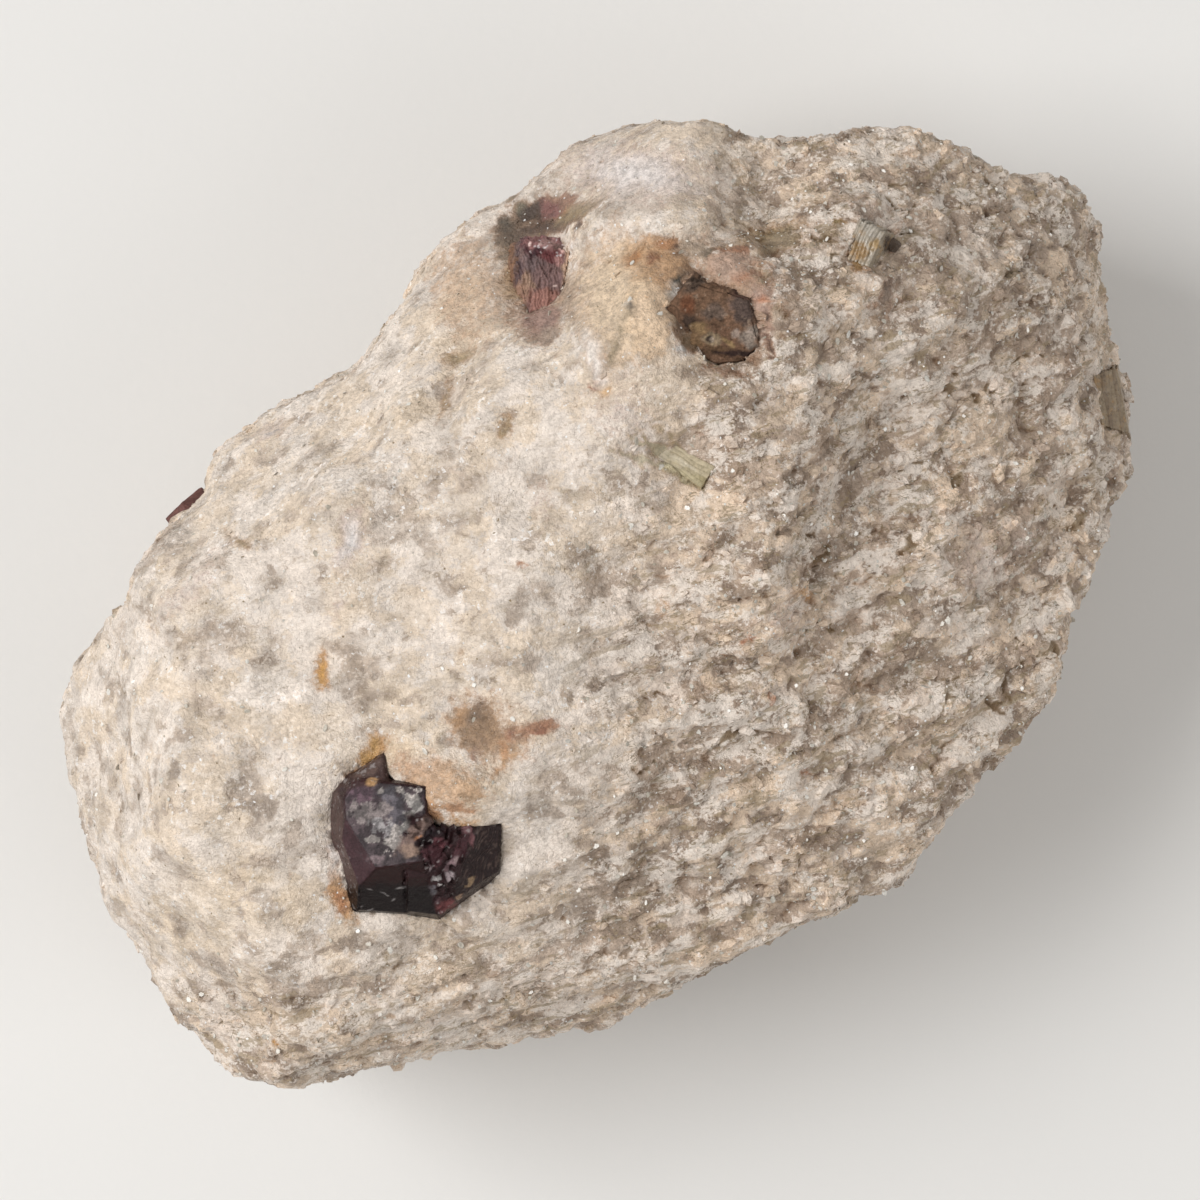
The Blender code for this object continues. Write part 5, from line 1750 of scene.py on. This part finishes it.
@dataclass
class Crumbs:
    """Angular crumbs of feldspar and quartz, drawn out along the layering and more than half sunk in the rock."""

    name: str = "feldspar_crumbs"
    count: int = 3800
    sides: int = 6
    smallest: float = 0.28
    largest: float = 1.35
    rise: float = -0.30
    sunk_above: float = 15.0

    def build(self, rock: bpy.types.Object, material: bpy.types.Material) -> bpy.types.Object:
        """Makes the crumbs, which take the rock's own minerals and stains where they lie."""
        layered = stored_values(rock.data, "layered")
        near = stored_values(rock.data, "near_crystal")
        up = ramp(mesh_normals(rock.data)[:, 2], -0.3, 0.3)
        weight = up * (0.06 + 0.94 * layered) * (1 - 0.6 * ramp(near, 0.05, 0.3))
        weight += 2.5 * up * ramp(near, 0.25, 0.5) * (mesh_points(rock.data)[:, 1] > self.sunk_above)
        spots = scatter_on(rock, weight + 1e-6, self.count, 101)
        corners, faces = plate(self.sides, 0.62)
        rough = layered[spots.chosen]
        size = self.smallest + (self.largest - self.smallest) * spots.chance[:, 0] ** 2.6 * (0.4 + 0.6 * rough)
        random = np.random.default_rng(102)
        shape = 1 + 0.7 * (random.random((self.count, len(corners), 3)) - 0.5)
        thick = size * (0.45 + 0.25 * spots.chance[:, 3])
        stretch = np.stack((size * (1.1 + 0.7 * spots.chance[:, 1]), size * (0.7 + 0.3 * spots.chance[:, 2]), thick), 1)
        bodies = corners[None] * shape * stretch[:, None, :]
        leaning = spots.normals + 0.12 * LAYER_NORMAL + 0.15 * random.normal(size=(self.count, 3))
        turn = 0.09 * random.normal(size=self.count)
        bodies = np.einsum("bij,bjk->bik", bodies, frames_along(leaning, turn))
        bodies += (spots.places + spots.normals * (self.rise * thick)[:, None])[:, None, :]
        low, high = (np.array(corner) / MM for corner in CAD_BOX)
        tone = stored_values(rock.data, "tone")[spots.chosen]
        mesh = joined(self.name, np.clip(bodies, low, high), faces, tone + 0.12 * (spots.chance[:, 5] - 0.4))
        kept = {
            "layered": 1.0, "hollow": 0.5, "stain": 1.0, "warm": 1.0, "quartz": 1.0, "cream": 1.0, "smoke": 1.0, "vein": 0.4,
        }
        for stored, keep in kept.items():
            own = stored_values(rock.data, stored)[spots.chosen] * keep
            set_values(mesh, stored, np.repeat(own, len(corners)))
        colours = stored_colours(rock.data, "stain_colour")[spots.chosen]
        set_colours(mesh, "stain_colour", np.repeat(colours, len(corners), axis=0))
        piece = finish_mesh(self.name, mesh, material)
        mesh.shade_flat()
        return piece


@dataclass
class Flakes:
    """Tiny mica flakes that lie along the layers and glint."""

    name: str = "mica_flakes"
    count: int = 4200
    smallest: float = 0.09
    largest: float = 0.40
    thickness: float = 0.035

    def build(self, rock: bpy.types.Object, material: bpy.types.Material, key_light: Vector) -> bpy.types.Object:
        """Makes the flakes.

        Args:
            rock: The finished rock.
            material: The flakes' material.
            key_light: The way to the key light from the specimen.

        Returns:
            The finished piece.
        """
        layered = stored_values(rock.data, "layered")
        up = ramp(mesh_normals(rock.data)[:, 2], -0.2, 0.4)
        spots = scatter_on(rock, up * (0.25 + layered) + 1e-6, self.count, 111)
        corners, faces = plate(6, 0.92)
        size = self.smallest + (self.largest - self.smallest) * spots.chance[:, 0] ** 3
        random = np.random.default_rng(112)
        shape = 1 + 0.5 * (random.random((self.count, len(corners), 1)) - 0.5)
        shape = np.where(np.array((True, True, False)), shape, 1.0)
        stretch = np.stack((size * (0.9 + 0.8 * spots.chance[:, 1]), size, np.full(self.count, self.thickness)), 1)
        bodies = corners[None] * shape * stretch[:, None, :]
        glint = (np.array(key_light) + np.array((0, 0, 1.0))) / 2
        glint /= np.linalg.norm(glint)
        shows = (spots.chance[:, 6] < 0.16)[:, None]
        loose = 0.9 * spots.normals + 0.5 * random.normal(size=(self.count, 3))
        facing = np.where(shows, glint + 0.10 * random.normal(size=(self.count, 3)), loose)
        bodies = np.einsum("bij,bjk->bik", bodies, frames_along(facing, spots.chance[:, 4]))
        bodies += (spots.places + spots.normals * 0.03)[:, None, :]
        low, high = (np.array(corner) / MM for corner in CAD_BOX)
        mesh = joined(self.name, np.clip(bodies, low, high), faces, spots.chance[:, 5])
        piece = finish_mesh(self.name, mesh, material)
        mesh.shade_flat()
        return piece


@dataclass(frozen=True)
class Studio:
    """The pale floor, the soft light from the upper left and the camera straight above."""

    key_way: tuple[float, float, float] = (-0.74, 0.13, 0.84)
    key_distance: float = 0.95
    key_size: float = 0.60
    key_power: float = 7.05
    fill_power: float = 2.6
    sky: float = 0.42
    floor_size: float = 6.0
    floor_colour: Colour = (0.80, 0.79, 0.77)

    def key_light(self) -> Vector:
        """The way to the key light."""
        return Vector(self.key_way).normalized()

    def area_light(self, name: str, way: Vector, distance: float, size: float, power: float) -> None:
        """Adds a square soft light that looks at the specimen."""
        lamp = bpy.data.lights.new(name, "AREA")
        lamp.shape = "SQUARE"
        lamp.size = size
        lamp.energy = power
        holder = bpy.data.objects.new(name, lamp)
        target = Vector((0, 0, RIM_HEIGHT * MM))
        holder.location = target + way * distance
        holder.rotation_euler = (-way).to_track_quat("-Z", "Y").to_euler()
        bpy.context.scene.collection.objects.link(holder)

    def build(self) -> None:
        """Makes the floor, the lights and the camera."""
        scene = bpy.context.scene
        scene.view_settings.view_transform = "Standard"
        self.area_light("key", self.key_light(), self.key_distance, self.key_size, self.key_power)
        self.area_light("fill", Vector((0.75, -0.45, 0.7)).normalized(), 1.1, 0.8, self.fill_power)
        world = bpy.data.worlds.new("studio")
        world.use_nodes = True
        world.node_tree.nodes["Background"].inputs["Color"].default_value = (1.0, 0.985, 0.965, 1.0)
        world.node_tree.nodes["Background"].inputs["Strength"].default_value = self.sky
        scene.world = world
        bpy.ops.mesh.primitive_plane_add(size=self.floor_size, location=(0, 0, 0))
        floor = bpy.context.active_object
        floor.name = "floor"
        graph = Graph("floor_paper")
        tone = graph.step(graph.noise(40.0, 3.0), 0.3, 0.7, 0.985, 1.0)
        colour = graph.mix(1.0, self.floor_colour, tone, "MULTIPLY")
        floor.data.materials.append(graph.close(colour, 0.9, graph.bump(graph.noise(0.8, 3.0), 0.02)))
        lens = bpy.data.cameras.new("camera")
        lens.lens = LENS
        lens.sensor_width = SENSOR
        lens.clip_start = 0.01
        camera = bpy.data.objects.new("camera", lens)
        camera.location = (0, 0, CAMERA_HEIGHT * MM)
        scene.collection.objects.link(camera)
        scene.camera = camera


CRYSTAL_NODES = (
    "garnet_large", "garnet_upper", "garnet_stained", "garnet_side", "mica_book_upper", "mica_fan", "mica_book_rim",
)
MICA_BOOKS = (
    MicaBook(
        "mica_book_upper_sheets", "mica_book_upper",
        MicaFinish("mica_grey", (0.42, 0.36, 0.28), (0.20, 0.16, 0.11), stained=0.3), 11, (0.90, -0.42, 0.25), 0.30, 121,
        (
            Stroke((0.330, 0.300, 0.255), 19.8, 27.4, 1.2, 1.0, -40, 0.75, 0.5),
            Stroke((0.230, 0.125, 0.030), 18.9, 25.5, 0.95, 0.60, -30, 0.95),
            Stroke((0.330, 0.200, 0.060), 20.0, 25.9, 0.50, 0.35, 20, 0.90),
            Stroke((0.200, 0.145, 0.045), 18.0, 27.6, 0.55, 0.40, 20, 0.90),
            Stroke((0.060, 0.042, 0.032), 21.0, 26.0, 0.42, 0.62, -15, 0.95),
        ),
    ),
    MicaBook(
        "mica_fan_sheets", "mica_fan",
        MicaFinish("mica_olive", (0.57, 0.485, 0.34), (0.36, 0.30, 0.175)), 11, (0.50, 0.80, 0.35), 0.45, 122,
        (
            Stroke((0.660, 0.590, 0.480), 4.0, 10.8, 1.3, 0.9, -30, 0.70, 0.6),
            Stroke((0.640, 0.570, 0.440), 5.8, 10.2, 1.6, 0.22, -32, 0.75, 0.6),
            Stroke((0.330, 0.270, 0.130), 7.6, 8.5, 0.9, 0.55, -35, 0.85, 0.6),
            Stroke((0.420, 0.360, 0.210), 6.3, 9.1, 1.6, 0.25, -35, 0.80, 0.6),
        ),
    ),
    MicaBook(
        "mica_book_rim_sheets", "mica_book_rim",
        MicaFinish("mica_brown", (0.34, 0.26, 0.17), (0.19, 0.13, 0.08), stained=0.3), 10, (0.98, 0.17, 0.1), 0.26, 123,
    ),
)


def main() -> None:
    """Builds the specimen piece by piece."""
    logging.basicConfig(level=logging.INFO, format="%(message)s")
    studio = Studio()
    studio.build()
    solids = [solid_copy(node) for node in CRYSTAL_NODES]
    stone = RockFinish().material()
    rock = MatrixRock().build(stone, solids)
    dress(rock, "matrix_rock", "matrix")
    garnet = GarnetFinish().material()
    dress(LargeGarnet().build(garnet), "garnet", "garnet_large")
    dress(UpperGarnet().build(garnet), "garnet", "garnet_upper")
    dress(SideGarnet().build(garnet), "garnet", "garnet_side")
    weathered = GarnetFinish("weathered_garnet", mottle=0.48, grit=0.14, gloss=0.18).material()
    dress(StainedGarnet().build(weathered), "weathered_garnet", "garnet_stained")
    for book in MICA_BOOKS:
        dress(book.build(), "mica", book.node)
    dress(Crumbs().build(rock, stone), "matrix_rock")
    flake = MicaFinish("mica_flake", (0.72, 0.69, 0.63), (0.45, 0.40, 0.32), rough=0.14).material()
    dress(Flakes().build(rock, flake, studio.key_light()), "mica")


if __name__ == "__main__":
    main()
